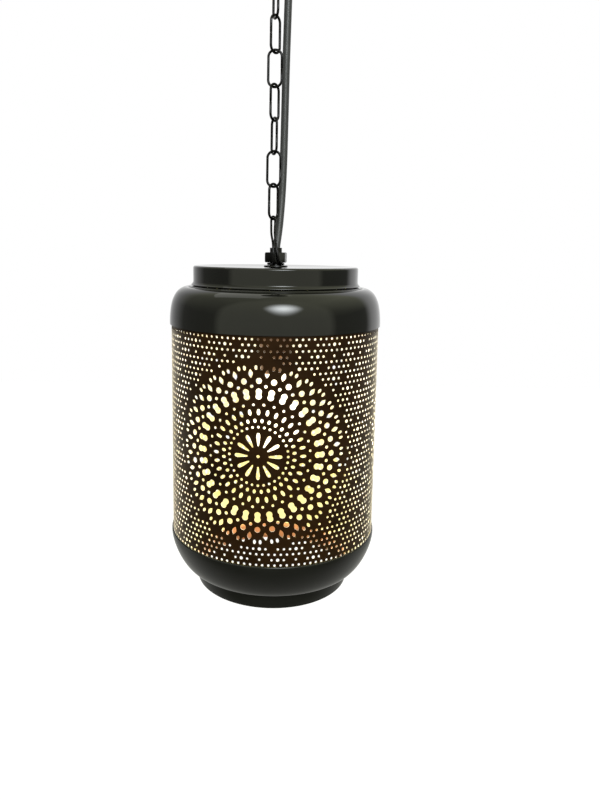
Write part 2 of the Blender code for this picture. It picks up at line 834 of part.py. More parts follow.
def make_bracket():
    length, width, thick = BRACKET
    half_l, half_w = length / 2, width / 2
    outline = [
        (-half_l, -half_w + 0.003),
        (-half_l + 0.003, -half_w),
        (half_l - 0.003, -half_w),
        (half_l, -half_w + 0.003),
        (half_l, half_w - 0.003),
        (half_l - 0.003, half_w),
        (-half_l + 0.003, half_w),
        (-half_l, half_w - 0.003),
    ]
    bar = prism("canopy_bracket", outline, -thick, 0.0, "zinc", centre=CHAIN_LINE)
    boss = lathe(
        "bracket_boss",
        [(0.0, -0.0010), (BOSS_R, -0.0010), (BOSS_R, -thick - BOSS_H), (0.0, -thick - BOSS_H)],
        SEG_SMALL,
        "zinc",
        CHAIN_LINE,
        below_rim=False,
    )
    boss.hide_render = True
    boss.display_type = "WIRE"
    joined = bar.modifiers.new("boss", "BOOLEAN")
    joined.operation = "UNION"
    joined.solver = "EXACT"
    joined.object = boss
    bore = lathe(
        "bracket_bore",
        [
            (0.0, -0.0040),
            (SHANK_R + GAP, -0.0040),
            (SHANK_R + GAP, -thick - BOSS_H - 0.002),
            (0.0, -thick - BOSS_H - 0.002),
        ],
        SEG_SMALL,
        "zinc",
        CHAIN_LINE,
        below_rim=False,
    )
    cut(bar, bore)
    for sign in (-1, 1):
        slot = [
            (
                sign * 0.028 + (0.005 if abs(a) < 90 else -0.005) + 0.0022 * math.cos(math.radians(a)),
                0.0022 * math.sin(math.radians(a)),
            )
            for a in (-80, -40, 0, 40, 80, 100, 140, 180, -140, -100)
        ]
        name = "bracket_slot_%d" % (sign + 2)
        cutter = prism(name, slot, -thick - 0.001, 0.001, "zinc", centre=CHAIN_LINE)
        cut(bar, cutter)


def make_hook():
    """Eye on a threaded shank; the top link hangs on the eye's lower bend."""
    eye_mid = RIM_Z + CONTACT_0 + PITCH * len(LINK_YAWS) - EYE_WIRE / 2 + EYE_R - 0.00015
    bm = bmesh.new()
    sides = 8
    steps = 18
    rows = []
    turn = math.radians(LINK_YAWS[-1] + 90)
    for k in range(steps):
        a = 2 * math.pi * k / steps
        row = []
        for i in range(sides):
            b = 2 * math.pi * i / sides
            reach = EYE_R + EYE_WIRE / 2 * math.cos(b)
            across = reach * math.cos(a)
            off = EYE_WIRE / 2 * math.sin(b)
            row.append(
                bm.verts.new(
                    (
                        CHAIN_X + across * math.cos(turn) - off * math.sin(turn),
                        CHAIN_Y + across * math.sin(turn) + off * math.cos(turn),
                        eye_mid + reach * math.sin(a),
                    )
                )
            )
        rows.append(row)
    for k in range(steps):
        for i in range(sides):
            j = (i + 1) % sides
            m = (k + 1) % steps
            bm.faces.new((rows[k][i], rows[m][i], rows[m][j], rows[k][j]))
    hook = new_object("canopy_hook", bm, "steel")
    shank = lathe(
        "hook_shank",
        [
            (0.0, eye_mid + EYE_R - 0.0004),
            (SHANK_R, eye_mid + EYE_R - 0.0004),
            (SHANK_R, -0.0046),
            (SHANK_R - 0.0006, -0.0043),
            (0.0, -0.0043),
        ],
        SEG_SMALL,
        "steel",
        centre=CHAIN_LINE,
        below_rim=False,
    )
    shank.hide_render = True
    shank.display_type = "WIRE"
    joined = hook.modifiers.new("shank", "BOOLEAN")
    joined.operation = "UNION"
    joined.solver = "EXACT"
    joined.object = shank
    nut_top = -CANOPY_H - GAP
    prism(
        "canopy_nut", hexagon(0.0110), nut_top - 0.0050, nut_top, "steel", SHANK_R + GAP, CHAIN_LINE
    )


def make_terminal():
    """Connector block inside the canopy, where the cord meets the house wires."""
    x, y = BUSH_X, BUSH_Y
    low = -CANOPY_H + 0.0092
    outline = [(-0.0100, -0.0034), (0.0100, -0.0034), (0.0100, 0.0066), (-0.0100, 0.0066)]
    prism("terminal_block", outline, low, low + 0.0098, "black_plastic", centre=(x, y + 0.0004))


# Lampholder and bulb


def make_holder():
    cap = [
        (NIPPLE_R + GAP, -HOLDER_TOP),
        (0.0095, -HOLDER_TOP),
        (0.0110, -HOLDER_TOP - 0.0015),
        (0.0120, -HOLDER_TOP - 0.0070),
        (0.0172, -HOLDER_TOP - 0.0120),
        (HOLDER_R, -HOLDER_TOP - 0.0165),
        (HOLDER_R, -HOLDER_MID),
        (HOLDER_R - 0.0022, -HOLDER_MID),
        (HOLDER_R - 0.0022, -HOLDER_TOP - 0.0160),
        (0.0150, -HOLDER_TOP - 0.0125),
        (0.0100, -HOLDER_TOP - 0.0085),
        (NIPPLE_R + GAP, -HOLDER_TOP - 0.0085),
    ]
    lathe("holder_cap", cap, SEG_MID, "black_plastic")
    top = -HOLDER_MID - GAP
    body = [
        (HOLDER_R - 0.0036, top + 0.0035),
        (HOLDER_R - 0.0026, top + 0.0035),
        (HOLDER_R - 0.0026, top),
        (HOLDER_R, top),
        (HOLDER_R, top - 0.0100),
        (HOLDER_R - 0.0020, top - 0.0110),
        (HOLDER_R - 0.0020, -HOLDER_LOW),
        (THREAD_R + 0.0022, -HOLDER_LOW),
        (THREAD_R + 0.0022, top - 0.0040),
        (HOLDER_R - 0.0036, top - 0.0034),
    ]
    lathe("holder_body", body, SEG_MID, "black_plastic")
    ring_in = HOLDER_R - 0.0020 + GAP
    lathe(
        "holder_ring",
        [
            (ring_in, top - RING_DROP),
            (HOLDER_R + 0.0005, top - RING_DROP),
            (HOLDER_R + 0.0010, top - RING_DROP - 0.0010),
            (HOLDER_R + 0.0010, top - RING_DROP - RING_H + 0.0010),
            (HOLDER_R + 0.0005, top - RING_DROP - RING_H),
            (ring_in, top - RING_DROP - RING_H),
        ],
        SEG_MID,
        "black_plastic",
    )
    core_r = THREAD_R + 0.0019
    core_top = top - 0.0004
    core = [
        (0.0, core_top),
        (core_r - 0.0006, core_top),
        (core_r - 0.0006, core_top - 0.0068),
        (0.0, core_top - 0.0068),
    ]
    lathe("holder_core", core, SEG_MID, "ceramic")
    tip = core_top - 0.0068 - GAP
    lathe(
        "centre_contact",
        [(0.0, tip), (0.0040, tip), (0.0040, tip - 0.0010), (0.0022, tip - 0.0026), (0.0, tip - 0.0026)],
        16,
        "brass",
    )
    shell_out = THREAD_R + 0.0019
    shell_in = THREAD_R + 0.0010
    lathe(
        "thread_shell",
        [
            (shell_out, tip),
            (shell_out, -HOLDER_LOW + 0.0030),
            (shell_in, -HOLDER_LOW + 0.0030),
            (shell_in, tip),
        ],
        SEG_MID,
        "brass",
    )
    return tip - 0.0026


def make_bulb(contact):
    tip_top = contact - GAP
    lathe(
        "bulb_tip",
        [(0.0, tip_top), (0.0036, tip_top - 0.0008), (0.0046, tip_top - 0.0022), (0.0, tip_top - 0.0022)],
        16,
        "zinc",
    )
    base_top = tip_top - 0.0022 - GAP
    profile = [(0.0, base_top), (0.0060, base_top), (0.0118, base_top - 0.0040)]
    pitch = 0.0036
    start = base_top - 0.0048
    for k in range(5):
        profile.append((THREAD_R - 0.0010, start - k * pitch))
        profile.append((THREAD_R, start - (k + 0.5) * pitch))
    skirt = start - 5 * pitch
    profile += [
        (THREAD_R, skirt),
        (THREAD_R, skirt - 0.0020),
        (THREAD_R - 0.0005, skirt - 0.0020),
        (THREAD_R - 0.0016, skirt + 0.0010),
        (THREAD_R - 0.0016, base_top - 0.0060),
        (0.0, base_top - 0.0034),
    ]
    lathe("bulb_screw_cap", profile, SEG_MID, "zinc", origin=(0.0, 0.0, RIM_Z + base_top))
    neck = skirt - 0.0020 - GAP
    mid = -BULB_LOW + BULB_R
    outer = [(THREAD_R - 0.0004, neck), (0.0140, neck - 0.0080), (0.0170, neck - 0.0170)]
    high = 52
    for k in range(9):
        a = math.radians(high - (90 + high) * k / 9)
        outer.append((BULB_R * math.cos(a), mid + BULB_R * math.sin(a)))
    outer.append((0.0, -BULB_LOW))
    wall = 0.0010
    inner = [(0.0, -BULB_LOW + wall)]
    for k in range(8, -1, -1):
        a = math.radians(high - (90 + high) * k / 9)
        inner.append(((BULB_R - wall) * math.cos(a), mid + (BULB_R - wall) * math.sin(a)))
    inner += [
        (0.0170 - wall, neck - 0.0172),
        (0.0140 - wall, neck - 0.0081),
        (THREAD_R - 0.0004 - wall, neck),
    ]
    lathe("bulb_glass", outer + inner, SEG_MID, "glass", origin=(0.0, 0.0, RIM_Z + neck))


def main():
    clear_scene()
    make_collar()
    make_shoulder()
    make_drum()
    make_seam()
    make_lower_cap()
    make_foot()
    ring_z = make_gland()
    make_loop(ring_z)
    make_chain()
    tube("power_cord", cord_path(), CORD_D / 2, "rubber", resolution=2)
    make_canopy()
    make_bracket()
    make_hook()
    make_terminal()
    make_bulb(make_holder())


main()
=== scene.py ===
"""Looks of the hanging metal lantern, laid out as a Blender add-on and run as a script.

Lengths are in metres, and heights of the profiles are measured from the rim of the lid.
"""

import json
from collections import namedtuple
from math import cos, hypot, pi, radians, sin, sqrt

import bmesh
import bpy
from bpy.props import FloatProperty, FloatVectorProperty, IntProperty, PointerProperty
from mathutils import Matrix, Vector
from mathutils.geometry import delaunay_2d_cdt

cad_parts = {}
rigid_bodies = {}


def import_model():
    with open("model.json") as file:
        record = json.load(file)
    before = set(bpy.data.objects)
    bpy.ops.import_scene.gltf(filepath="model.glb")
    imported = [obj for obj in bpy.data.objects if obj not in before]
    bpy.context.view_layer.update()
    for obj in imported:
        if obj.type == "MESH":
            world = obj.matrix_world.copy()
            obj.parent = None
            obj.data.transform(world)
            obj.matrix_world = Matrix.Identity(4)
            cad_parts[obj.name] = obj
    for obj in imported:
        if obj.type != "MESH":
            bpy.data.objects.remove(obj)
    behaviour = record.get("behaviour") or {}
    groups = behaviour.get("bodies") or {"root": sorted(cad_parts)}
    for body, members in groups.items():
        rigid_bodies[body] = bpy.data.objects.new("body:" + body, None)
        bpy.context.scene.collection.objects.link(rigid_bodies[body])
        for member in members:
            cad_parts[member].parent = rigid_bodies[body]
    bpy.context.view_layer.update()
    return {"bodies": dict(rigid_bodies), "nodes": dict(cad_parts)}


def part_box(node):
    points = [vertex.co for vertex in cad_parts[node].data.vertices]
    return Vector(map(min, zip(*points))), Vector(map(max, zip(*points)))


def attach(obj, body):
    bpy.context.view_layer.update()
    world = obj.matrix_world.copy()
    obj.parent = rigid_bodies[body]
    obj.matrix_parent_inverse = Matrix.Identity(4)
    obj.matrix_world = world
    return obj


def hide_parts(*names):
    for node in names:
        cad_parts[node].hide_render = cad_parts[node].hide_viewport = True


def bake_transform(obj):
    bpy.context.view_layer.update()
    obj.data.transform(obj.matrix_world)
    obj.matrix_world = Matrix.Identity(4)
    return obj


bl_info = {
    "name": "Hanging metal lantern",
    "version": (1, 0, 0),
    "blender": (4, 5, 0),
    "location": "View3D > Sidebar > Lantern",
    "description": "Builds the visible pieces of the lantern on its packed frame",
    "category": "Object",
}

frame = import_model()

MM_PER_M = 1000
RIM_Z = -0.315
GAP = 0.0003

# Chain, with the yaws in degrees from its lowest link up
CHAIN_X = -0.0030
CONTACT_0 = 0.0459
PITCH = 0.0301
LINK_YAWS = (50, 168, 112, 54, 174, 50, 110)

# Canopy and the bushing in it
CANOPY_H = 0.025
CANOPY_SHEET = 0.0010
BUSH = (0.0090, 0.0140)
BUSH_HOLE_R = 0.00525

# Gland and the loop that it clamps
WASHER_TOP = 0.0008
NUT_LOW, NUT_HIGH = 0.0036, 0.0132
NUT_CORNER_R = 0.0195 / sqrt(3)
NUT_YAW = 10
NUT_BORE_R = 0.0063
NIPPLE_R = 0.0060
NIPPLE_BORE_R = 0.0042
NIPPLE_LOW, NIPPLE_HIGH = -0.0460, 0.0176
LOOP_WIRE = 0.0022
LOOP_HALF = 0.00285
LOOP_YAW = -50
LOOP_CLEAR = 0.0005

# Camera fitted to the photograph: pixels, degrees and metres
PHOTO_W, PHOTO_H = 600.0, 800.0
PHOTO_FOCUS = 646.0
PHOTO_MIDDLE = (274.73, 345.0)
CAMERA_PITCH = 8.3
CAMERA_ROLL = 0.742
CAMERA_AWAY = 0.6276
CAMERA_OVER_RIM = 0.0147
SENSOR = 24.0


def in_mm(*points):
    """Points of a table that is written in millimetres."""
    return [tuple(value / MM_PER_M for value in point) for point in points]


# Profiles of (radius, height from the rim)
COLLAR = in_mm(
    (6.3, -1.5), (15.0, -1.48), (30.1, -1.4), (55.4, -0.8), (70.4, -0.2), (75.5, 0.0),
    (76.7, 0.0), (78.0, -0.3), (78.8, -1.1), (79.1, -2.2), (79.1, -8.0), (79.1, -14.2),
    (79.4, -15.6), (80.1, -16.8), (80.8, -17.4), (80.9, -18.0),
)
COLLAR_INSIDE = in_mm(
    (78.2, -18.66), (78.3, -8.0), (78.2, -2.2), (76.7, -0.8), (70.4, -1.0), (55.4, -1.6),
    (30.1, -2.2), (6.3, -2.3),
)
SHOULDER = in_mm(
    (74.5, -18.6), (80.0, -18.8), (83.2, -19.0), (84.0, -19.8), (85.6, -19.8), (88.0, -20.2),
    (90.8, -21.5), (93.6, -23.6), (95.8, -26.3), (97.8, -30.0), (99.3, -34.2), (100.5, -40.1),
    (101.2, -46.6), (101.4, -51.0), (101.4, -54.9),
)
BOWL = in_mm(
    (98.6, -257.9), (99.9, -257.5), (100.8, -257.8), (101.1, -258.8), (101.0, -262.5), (99.9, -268.0),
    (97.6, -274.9), (94.5, -281.6), (90.7, -287.7), (86.3, -292.5), (80.9, -295.9), (75.5, -297.0),
)
FOOT = in_mm(
    (78.6, -295.1), (75.6, -295.7), (75.2, -296.2), (75.2, -304.0), (75.3, -309.9), (75.1, -310.4),
    (74.6, -310.5), (73.9, -310.3), (73.7, -309.6), (73.6, -295.4), (74.1, -294.5), (78.6, -294.3),
)
WASHER = in_mm(
    (6.3, -1.2), (10.7, -1.2), (11.3, -1.0), (11.5, -0.5),
    (11.5, 0.1), (11.3, 0.6), (10.7, 0.8), (6.3, 0.8),
)
# Of (radius, height from the ceiling)
CANOPY = in_mm(
    (3.3, -25.0), (15.0, -25.0), (30.0, -25.0), (34.5, -24.5), (39.0, -23.4), (42.5, -21.4),
    (45.0, -19.0), (48.0, -13.0), (49.6, -7.0), (50.0, -1.2), (50.0, -0.3),
)
# Middle line of the cord, from the lampholder up to the canopy
CORD_ABOVE_RIM = in_mm(
    (0.0, 0.0, -38.5), (0.0, 0.0, -10.0), (0.0, 0.0, 12.0), (0.6, 1.0, 20.0),
    (2.2, 4.8, 32.0), (3.6, 8.6, 46.0), (5.2, 11.8, 70.0), (6.2, 13.5, 100.0),
    (6.8, 14.0, 140.0), (7.4, 14.0, 190.0), (8.2, 14.0, 230.0), (9.0, 14.0, 270.0),
)
CORD_ROUTE = [(x, y, RIM_Z + z) for x, y, z in CORD_ABOVE_RIM]
CORD_ROUTE += [(*BUSH, -CANOPY_H - 0.0040), (*BUSH, -CANOPY_H + 0.0085)]


# Settings


def metres(name, description, default):
    return FloatProperty(name=name, description=description, default=default, unit="LENGTH")


def colour(name, description, default):
    return FloatVectorProperty(name=name, description=description, default=default, subtype="COLOR")


class LanternShape(bpy.types.PropertyGroup):
    segments: IntProperty(name="Segments", description="Facets of a shell", default=144, min=24)
    sheet: metres("Sheet", "Thickness of the sheet metal", 0.0008)
    drum_sheet: metres("Drum sheet", "Thickness of the pierced sheet", 0.0005)
    drum_radius: metres("Drum radius", "Outer radius of the drum", 0.0998)
    drum_top: metres("Drum top", "Below the rim", 0.0440)
    drum_low: metres("Drum bottom", "Below the rim", 0.2575)
    figure_mid: metres("Figure middle", "Middle of the round figures below the rim", 0.1583)
    figure_yaw: FloatProperty(
        name="Figure yaw", description="Front figure's turn", default=radians(-7.6), subtype="ANGLE"
    )
    dot: metres("Small dot", "Diameter of a small hole", 0.0022)
    big_dot: metres("Big dot", "Diameter of a big hole", 0.0031)
    wire: metres("Link wire", "Diameter of the chain's wire", 0.0024)
    link_width: metres("Link width", "Over the wire", 0.0150)
    cord: metres("Cord", "Diameter of the cord", 0.0073)


class LanternLook(bpy.types.PropertyGroup):
    enamel: colour("Enamel", "Black of the caps", (0.0070, 0.0072, 0.0060))
    drum_outside: colour("Drum outside", "Dark brown of the drum", (0.0215, 0.0097, 0.0030))
    drum_inside: colour("Drum inside", "Gold paint inside", (0.76, 0.70, 0.36))
    # Painted light: this paler gold at the sides and the top stands for a brighter lit inside there
    painted_light_inside: colour("Painted light inside", "Paler paint at the sides and the top", (0.98, 0.94, 0.86))
    hole_edge: colour("Hole edges", "Bare edge of the pierced holes", (0.95, 0.90, 0.80))
    glow: colour("Glow", "Colour of the lit bulb", (1.0, 0.93, 0.82))
    bulb_strength: FloatProperty(
        name="Bulb strength", description="Brightness of the lit glass", default=1.1, min=0.0
    )
    bulb_power: FloatProperty(
        name="Bulb power", description="Light that the bulb gives", default=1.15, unit="POWER"
    )
    copper: colour("Foot inside", "Copper tint inside the foot", (0.42, 0.19, 0.085))


def shape():
    return bpy.context.scene.lantern_shape


def look():
    return bpy.context.scene.lantern_look


# Shader nodes


def add(tree, kind, inputs=None, **settings):
    """Adds a shader node; each input is set to a value or linked to the socket given for it."""
    node = tree.nodes.new("ShaderNode" + kind)
    for name, value in settings.items():
        setattr(node, name, value)
    for key, value in (inputs or {}).items():
        if isinstance(value, bpy.types.NodeSocket):
            tree.links.new(value, node.inputs[key])
        else:
            node.inputs[key].default_value = value
    return node


def calculate(tree, operation, *values):
    return add(tree, "Math", dict(enumerate(values)), operation=operation).outputs["Value"]


def map_range(tree, value, span, reach=(0.0, 1.0), smooth=False):
    names = ("Value", "From Min", "From Max", "To Min", "To Max")
    inputs = dict(zip(names, (value, *span, *reach)))
    kind = "SMOOTHSTEP" if smooth else "LINEAR"
    return add(tree, "MapRange", inputs, interpolation_type=kind).outputs["Result"]


def mix(tree, factor, a, b, blend="MIX"):
    inputs = {"Factor": factor, "A": a, "B": b}
    return add(tree, "Mix", inputs, data_type="RGBA", blend_type=blend).outputs["Result"]


def position(tree, source="Object"):
    """The vector of a point, and its X, Y and Z."""
    place = add(tree, "TexCoord").outputs[source]
    return place, add(tree, "SeparateXYZ", {"Vector": place}).outputs


def opaque(rgb):
    return (*rgb, 1.0)


def grain_group():
    """Group that gives a broad mask, a fine mask and a bumped normal from object coordinates."""
    group = bpy.data.node_groups.get("surface_grain")
    if group:
        return group
    group = bpy.data.node_groups.new("surface_grain", "ShaderNodeTree")
    for name, default in (("Broad scale", 20.0), ("Fine scale", 400.0), ("Bump", 0.1)):
        socket = group.interface.new_socket(name, in_out="INPUT", socket_type="NodeSocketFloat")
        socket.default_value = default
    for name, kind in (("Broad", "Float"), ("Fine", "Float"), ("Normal", "Vector")):
        group.interface.new_socket(name, in_out="OUTPUT", socket_type="NodeSocket" + kind)
    given = group.nodes.new("NodeGroupInput").outputs
    place = add(group, "TexCoord").outputs["Object"]
    broad = add(group, "TexNoise", {"Vector": place, "Scale": given["Broad scale"], "Detail": 4.0})
    fine = add(group, "TexNoise", {"Vector": place, "Scale": given["Fine scale"], "Detail": 3.0})
    relief = {"Strength": given["Bump"], "Distance": 0.0006, "Height": fine.outputs["Fac"]}
    bump = add(group, "Bump", relief)
    leave = group.nodes.new("NodeGroupOutput")
    group.links.new(broad.outputs["Fac"], leave.inputs["Broad"])
    group.links.new(fine.outputs["Fac"], leave.inputs["Fine"])
    group.links.new(bump.outputs["Normal"], leave.inputs["Normal"])
    return group


def add_grain(tree, scales, bump):
    inputs = {"Broad scale": scales[0], "Fine scale": scales[1], "Bump": bump}
    return add(tree, "Group", inputs, node_tree=grain_group()).outputs


# Materials

Finish = namedtuple("Finish", "dark light rough metallic scales bump specular", defaults=(0.5,))

STEEL_GRAIN = (1.0, (90.0, 1200.0), 0.08)
MOULDED = ((0.35, 0.50), 0.0, (60.0, 1500.0), 0.06)
FINISHES = {
    "blackened_steel": Finish((0.010,) * 3, (0.026, 0.026, 0.027), (0.14, 0.28), *STEEL_GRAIN),
    "oiled_steel": Finish((0.024,) * 3, (0.060, 0.060, 0.061), (0.18, 0.32), *STEEL_GRAIN),
    "zinc_plate": Finish(
        (0.34, 0.34, 0.33), (0.52, 0.52, 0.50), (0.25, 0.42), 1.0, (120.0, 900.0), 0.05
    ),
    "plain_brass": Finish(
        (0.55, 0.37, 0.13), (0.72, 0.52, 0.21), (0.22, 0.38), 1.0, (90.0, 900.0), 0.05
    ),
    "black_moulding": Finish((0.012,) * 3, (0.020,) * 3, *MOULDED),
    "brown_moulding": Finish((0.060, 0.026, 0.011), (0.095, 0.042, 0.018), *MOULDED),
    "glazed_ceramic": Finish(
        (0.68, 0.66, 0.60), (0.80, 0.78, 0.73), (0.20, 0.30), 0.0, (60.0, 700.0), 0.03
    ),
    "cord_sheath": Finish(
        (0.032, 0.033, 0.035), (0.050, 0.051, 0.054), (0.38, 0.50), 0.0, (60.0, 1800.0), 0.05
    ),
}
# Colour of the look, factors of its dark and its light shade, then as in a finish
PAINTS = {
    "black_enamel": ("enamel", 0.8, 1.3, (0.025, 0.05), (28.0, 500.0), 0.004, 0.5),
    "copper_paint": ("copper", 0.8, 1.15, (0.35, 0.50), (40.0, 700.0), 0.05, 0.5),
    "drum_paint": ("drum_outside", 0.7, 1.4, (0.30, 0.42), (30.0, 700.0), 0.06, 0.06),
    "gold_paint": ("drum_inside", 0.9, 1.08, (0.35, 0.50), (40.0, 700.0), 0.05, 0.5),
    "hole_edge": ("hole_edge", 0.9, 1.08, (0.35, 0.50), (60.0, 700.0), 0.05, 0.5),
}
GRAIN_SPAN = (0.3, 0.7)
DRUM_SHEEN = {"Weight": 1.0, "Roughness": 0.28, "Tint": (1.0, 0.85, 0.67, 1.0)}

# Painted light: the gold inside is lightened over this height, which leans to one side, and over this
# width, standing for a brighter lit inside at the top and the sides
PAINTED_LIGHT_LEAN = 0.28
PAINTED_LIGHT_RISE = (RIM_Z - 0.20, RIM_Z - 0.07)
PAINTED_LIGHT_ASIDE = (0.078, 0.096)


def new_material(name):
    made = bpy.data.materials.new(name)
    made.use_nodes = True
    return made, made.node_tree, made.node_tree.nodes["Principled BSDF"].inputs


def surface(name, finish=None):
    """A procedural finish: two shades mixed by a broad mask, roughness by a fine one."""
    found = bpy.data.materials.get(name)
    if found:
        return found
    finish = finish or FINISHES[name]
    made, tree, shader = new_material(name)
    shader["Metallic"].default_value = finish.metallic
    shader["Specular IOR Level"].default_value = finish.specular
    grain = add_grain(tree, finish.scales, finish.bump)
    spread = map_range(tree, grain["Broad"], GRAIN_SPAN)
    shades = mix(tree, spread, opaque(finish.dark), opaque(finish.light))
    tree.links.new(shades, shader["Base Color"])
    gloss = map_range(tree, grain["Fine"], GRAIN_SPAN, finish.rough)
    tree.links.new(gloss, shader["Roughness"])
    tree.links.new(grain["Normal"], shader["Normal"])
    return made


def shade(rgb, factor):
    return tuple(min(value * factor, 1.0) for value in rgb)


def paint(name):
    """A paint in one of the look's colours."""
    tint, low, high, rough, scales, bump, specular = PAINTS[name]
    rgb = getattr(look(), tint)
    finish = Finish(shade(rgb, low), shade(rgb, high), rough, 0.0, scales, bump, specular)
    return surface(name, finish)


def drum_paint():
    made = paint("drum_paint")
    shader = made.node_tree.nodes["Principled BSDF"].inputs
    for name, value in DRUM_SHEEN.items():
        shader["Sheen " + name].default_value = value
    return made


def gold():
    """Gold paint with painted light: lightened towards the top of the drum and towards its sides,
    where the lit inside looks brighter.
    """
    found = bpy.data.materials.get("gold_paint")
    if found:
        return found
    made = paint("gold_paint")
    tree = made.node_tree
    base = tree.nodes["Principled BSDF"].inputs["Base Color"]
    painted = base.links[0].from_socket
    _, axes = position(tree)
    # Painted light: the gold is mixed towards a paler colour towards the top and the sides
    rise = map_range(tree, calculate(tree, "MULTIPLY_ADD", axes["X"], PAINTED_LIGHT_LEAN, axes["Z"]), PAINTED_LIGHT_RISE)
    aside = map_range(tree, calculate(tree, "ABSOLUTE", axes["X"]), PAINTED_LIGHT_ASIDE, smooth=True)
    painted_light_mask = calculate(tree, "MAXIMUM", rise, aside)
    tree.links.new(mix(tree, painted_light_mask, painted, opaque(look().painted_light_inside)), base)
    return made


def lit_glass():
    made, tree, shader = new_material("lit_glass")
    shader["Roughness"].default_value = 0.35
    shader["Emission Strength"].default_value = look().bulb_strength
    grain = add_grain(tree, (30.0, 900.0), 0.03)
    glow = look().glow
    shades = mix(tree, grain["Broad"], opaque(shade(glow, 0.92)), opaque(glow))
    tree.links.new(shades, shader["Base Color"])
    tree.links.new(shades, shader["Emission Color"])
    tree.links.new(grain["Normal"], shader["Normal"])
    return made


def paint_inside(piece, material, reach):
    """Gives a second material to faces that look at the axis, or upwards within this radius."""
    piece.data.materials.append(material)
    for polygon in piece.data.polygons:
        away = Vector((polygon.center.x, polygon.center.y, 0.0))
        upward = polygon.normal.z > 0.5 and away.length < reach
        if polygon.normal.dot(away.normalized()) < -0.1 or upward:
            polygon.material_index = 1


def paint_nodes(material, *names):
    """Paints CAD nodes that stay in sight."""
    for name in names:
        obj = frame["nodes"][name]
        if not obj.material_slots:
            obj.data.materials.append(material)
        for slot in obj.material_slots:
            slot.material = material


# Modelling helpers


def deselect():
    if bpy.context.mode != "OBJECT":
        bpy.ops.object.mode_set(mode="OBJECT")
    bpy.ops.object.select_all(action="DESELECT")


def activate(obj):
    deselect()
    obj.select_set(True)
    bpy.context.view_layer.objects.active = obj


def new_object(name, data):
    obj = bpy.data.objects.new(name, data)
    bpy.context.scene.collection.objects.link(obj)
    return obj


def edit_all():
    bpy.ops.object.mode_set(mode="EDIT")
    bpy.ops.mesh.select_all(action="SELECT")


def turn_all(degrees, axis):
    bpy.ops.transform.rotate(
        value=radians(degrees), orient_axis=axis, center_override=(0, 0, 0), orient_type="GLOBAL"
    )


def dress(obj, name, material, body, nodes, angle=35.0):
    """Names a finished piece, gives it its material and body, and hides the nodes that it stands for.
    """
    obj.name = name
    obj.data.name = name
    obj.data.materials.clear()
    obj.data.materials.append(material)
    activate(obj)
    if angle:
        bpy.ops.object.shade_smooth_by_angle(angle=radians(angle))
    obj.select_set(False)
    if body:
        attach(obj, body)
    if nodes:
        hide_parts(*nodes)
    return obj


def turned(profile, segments, centre=(0.0, 0.0), ring=True):
    """A circle extruded along a profile of (radius, z), whose ends are joined for a ring or filled."""
    deselect()
    radius, z = profile[0]
    bpy.ops.mesh.primitive_circle_add(
        vertices=segments, radius=radius, fill_type="NOTHING", location=(0, 0, 0)
    )
    obj = bpy.context.active_object
    edit_all()
    bpy.ops.transform.translate(value=(*centre, z))
    for next_radius, next_z in profile[1:]:
        bpy.ops.mesh.extrude_region_move(TRANSFORM_OT_translate={"value": (0, 0, next_z - z)})
        if next_radius < 1e-6:
            bpy.ops.mesh.merge(type="CENTER")
            break
        factor = next_radius / radius
        if abs(factor - 1.0) > 1e-9:
            bpy.ops.transform.resize(value=(factor, factor, 1), center_override=(*centre, next_z))
        radius, z = next_radius, next_z
    if ring:
        bpy.ops.mesh.select_all(action="DESELECT")
        bpy.ops.mesh.select_non_manifold()
        bpy.ops.mesh.bridge_edge_loops()
    bpy.ops.mesh.select_all(action="SELECT")
    if not ring:
        bpy.ops.mesh.fill_holes(sides=0)
    bpy.ops.mesh.normals_make_consistent(inside=False)
    bpy.ops.object.mode_set(mode="OBJECT")
    return obj


def rounded(points, steps=4):
    """Catmull-Rom curve through the points of a profile or a path."""
    out = []
    last = len(points) - 1
    for i in range(last):
        p0, p1, p2, p3 = (Vector(points[min(max(i + k, 0), last)]) for k in (-1, 0, 1, 2))
        square = 2 * p0 - 5 * p1 + 4 * p2 - p3
        cube = 3 * p1 - p0 - 3 * p2 + p3
        for k in range(steps):
            t = k / steps
            out.append(0.5 * (2 * p1 + (p2 - p0) * t + square * t * t + cube * t ** 3))
    out.append(Vector(points[-1]))
    return out


def offset(curve, thickness):
    """The curve of (radius, z), moved square to itself, to the right of its run."""
    moved = []
    for i, place in enumerate(curve):
        ahead = curve[min(i + 1, len(curve) - 1)] - curve[max(i - 1, 0)]
        ahead.normalize()
        moved.append(Vector((place.x + ahead.y * thickness, place.y - ahead.x * thickness)))
    return moved


def below_rim(points):
    return [(p[0], RIM_Z + p[1]) for p in points]


def circle(radius, sides, start=0.0):
    turns = [2 * pi * (k + start) / sides for k in range(sides)]
    return [(radius * cos(turn), radius * sin(turn)) for turn in turns]


def wire(points, radius, resolution):
    """A round wire along the points, made as a bevelled curve and converted to a mesh."""
    data = bpy.data.curves.new("wire", "CURVE")
    data.dimensions = "3D"
    data.bevel_depth = radius
    data.bevel_resolution = resolution
    data.use_fill_caps = True
    spline = data.splines.new("POLY")
    spline.points.add(len(points) - 1)
    for point, place in zip(spline.points, points):
        point.co = (*place, 1.0)
    activate(new_object("wire", data))
    bpy.ops.object.convert(target="MESH")
    return bpy.context.active_object


def apply_boolean(obj, other, operation):
    activate(obj)
    modifier = obj.modifiers.new("shape", "BOOLEAN")
    modifier.operation = operation
    modifier.solver = "EXACT"
    modifier.object = other
    bpy.ops.object.modifier_apply(modifier="shape")
    bpy.data.objects.remove(other, do_unlink=True)


# Stage


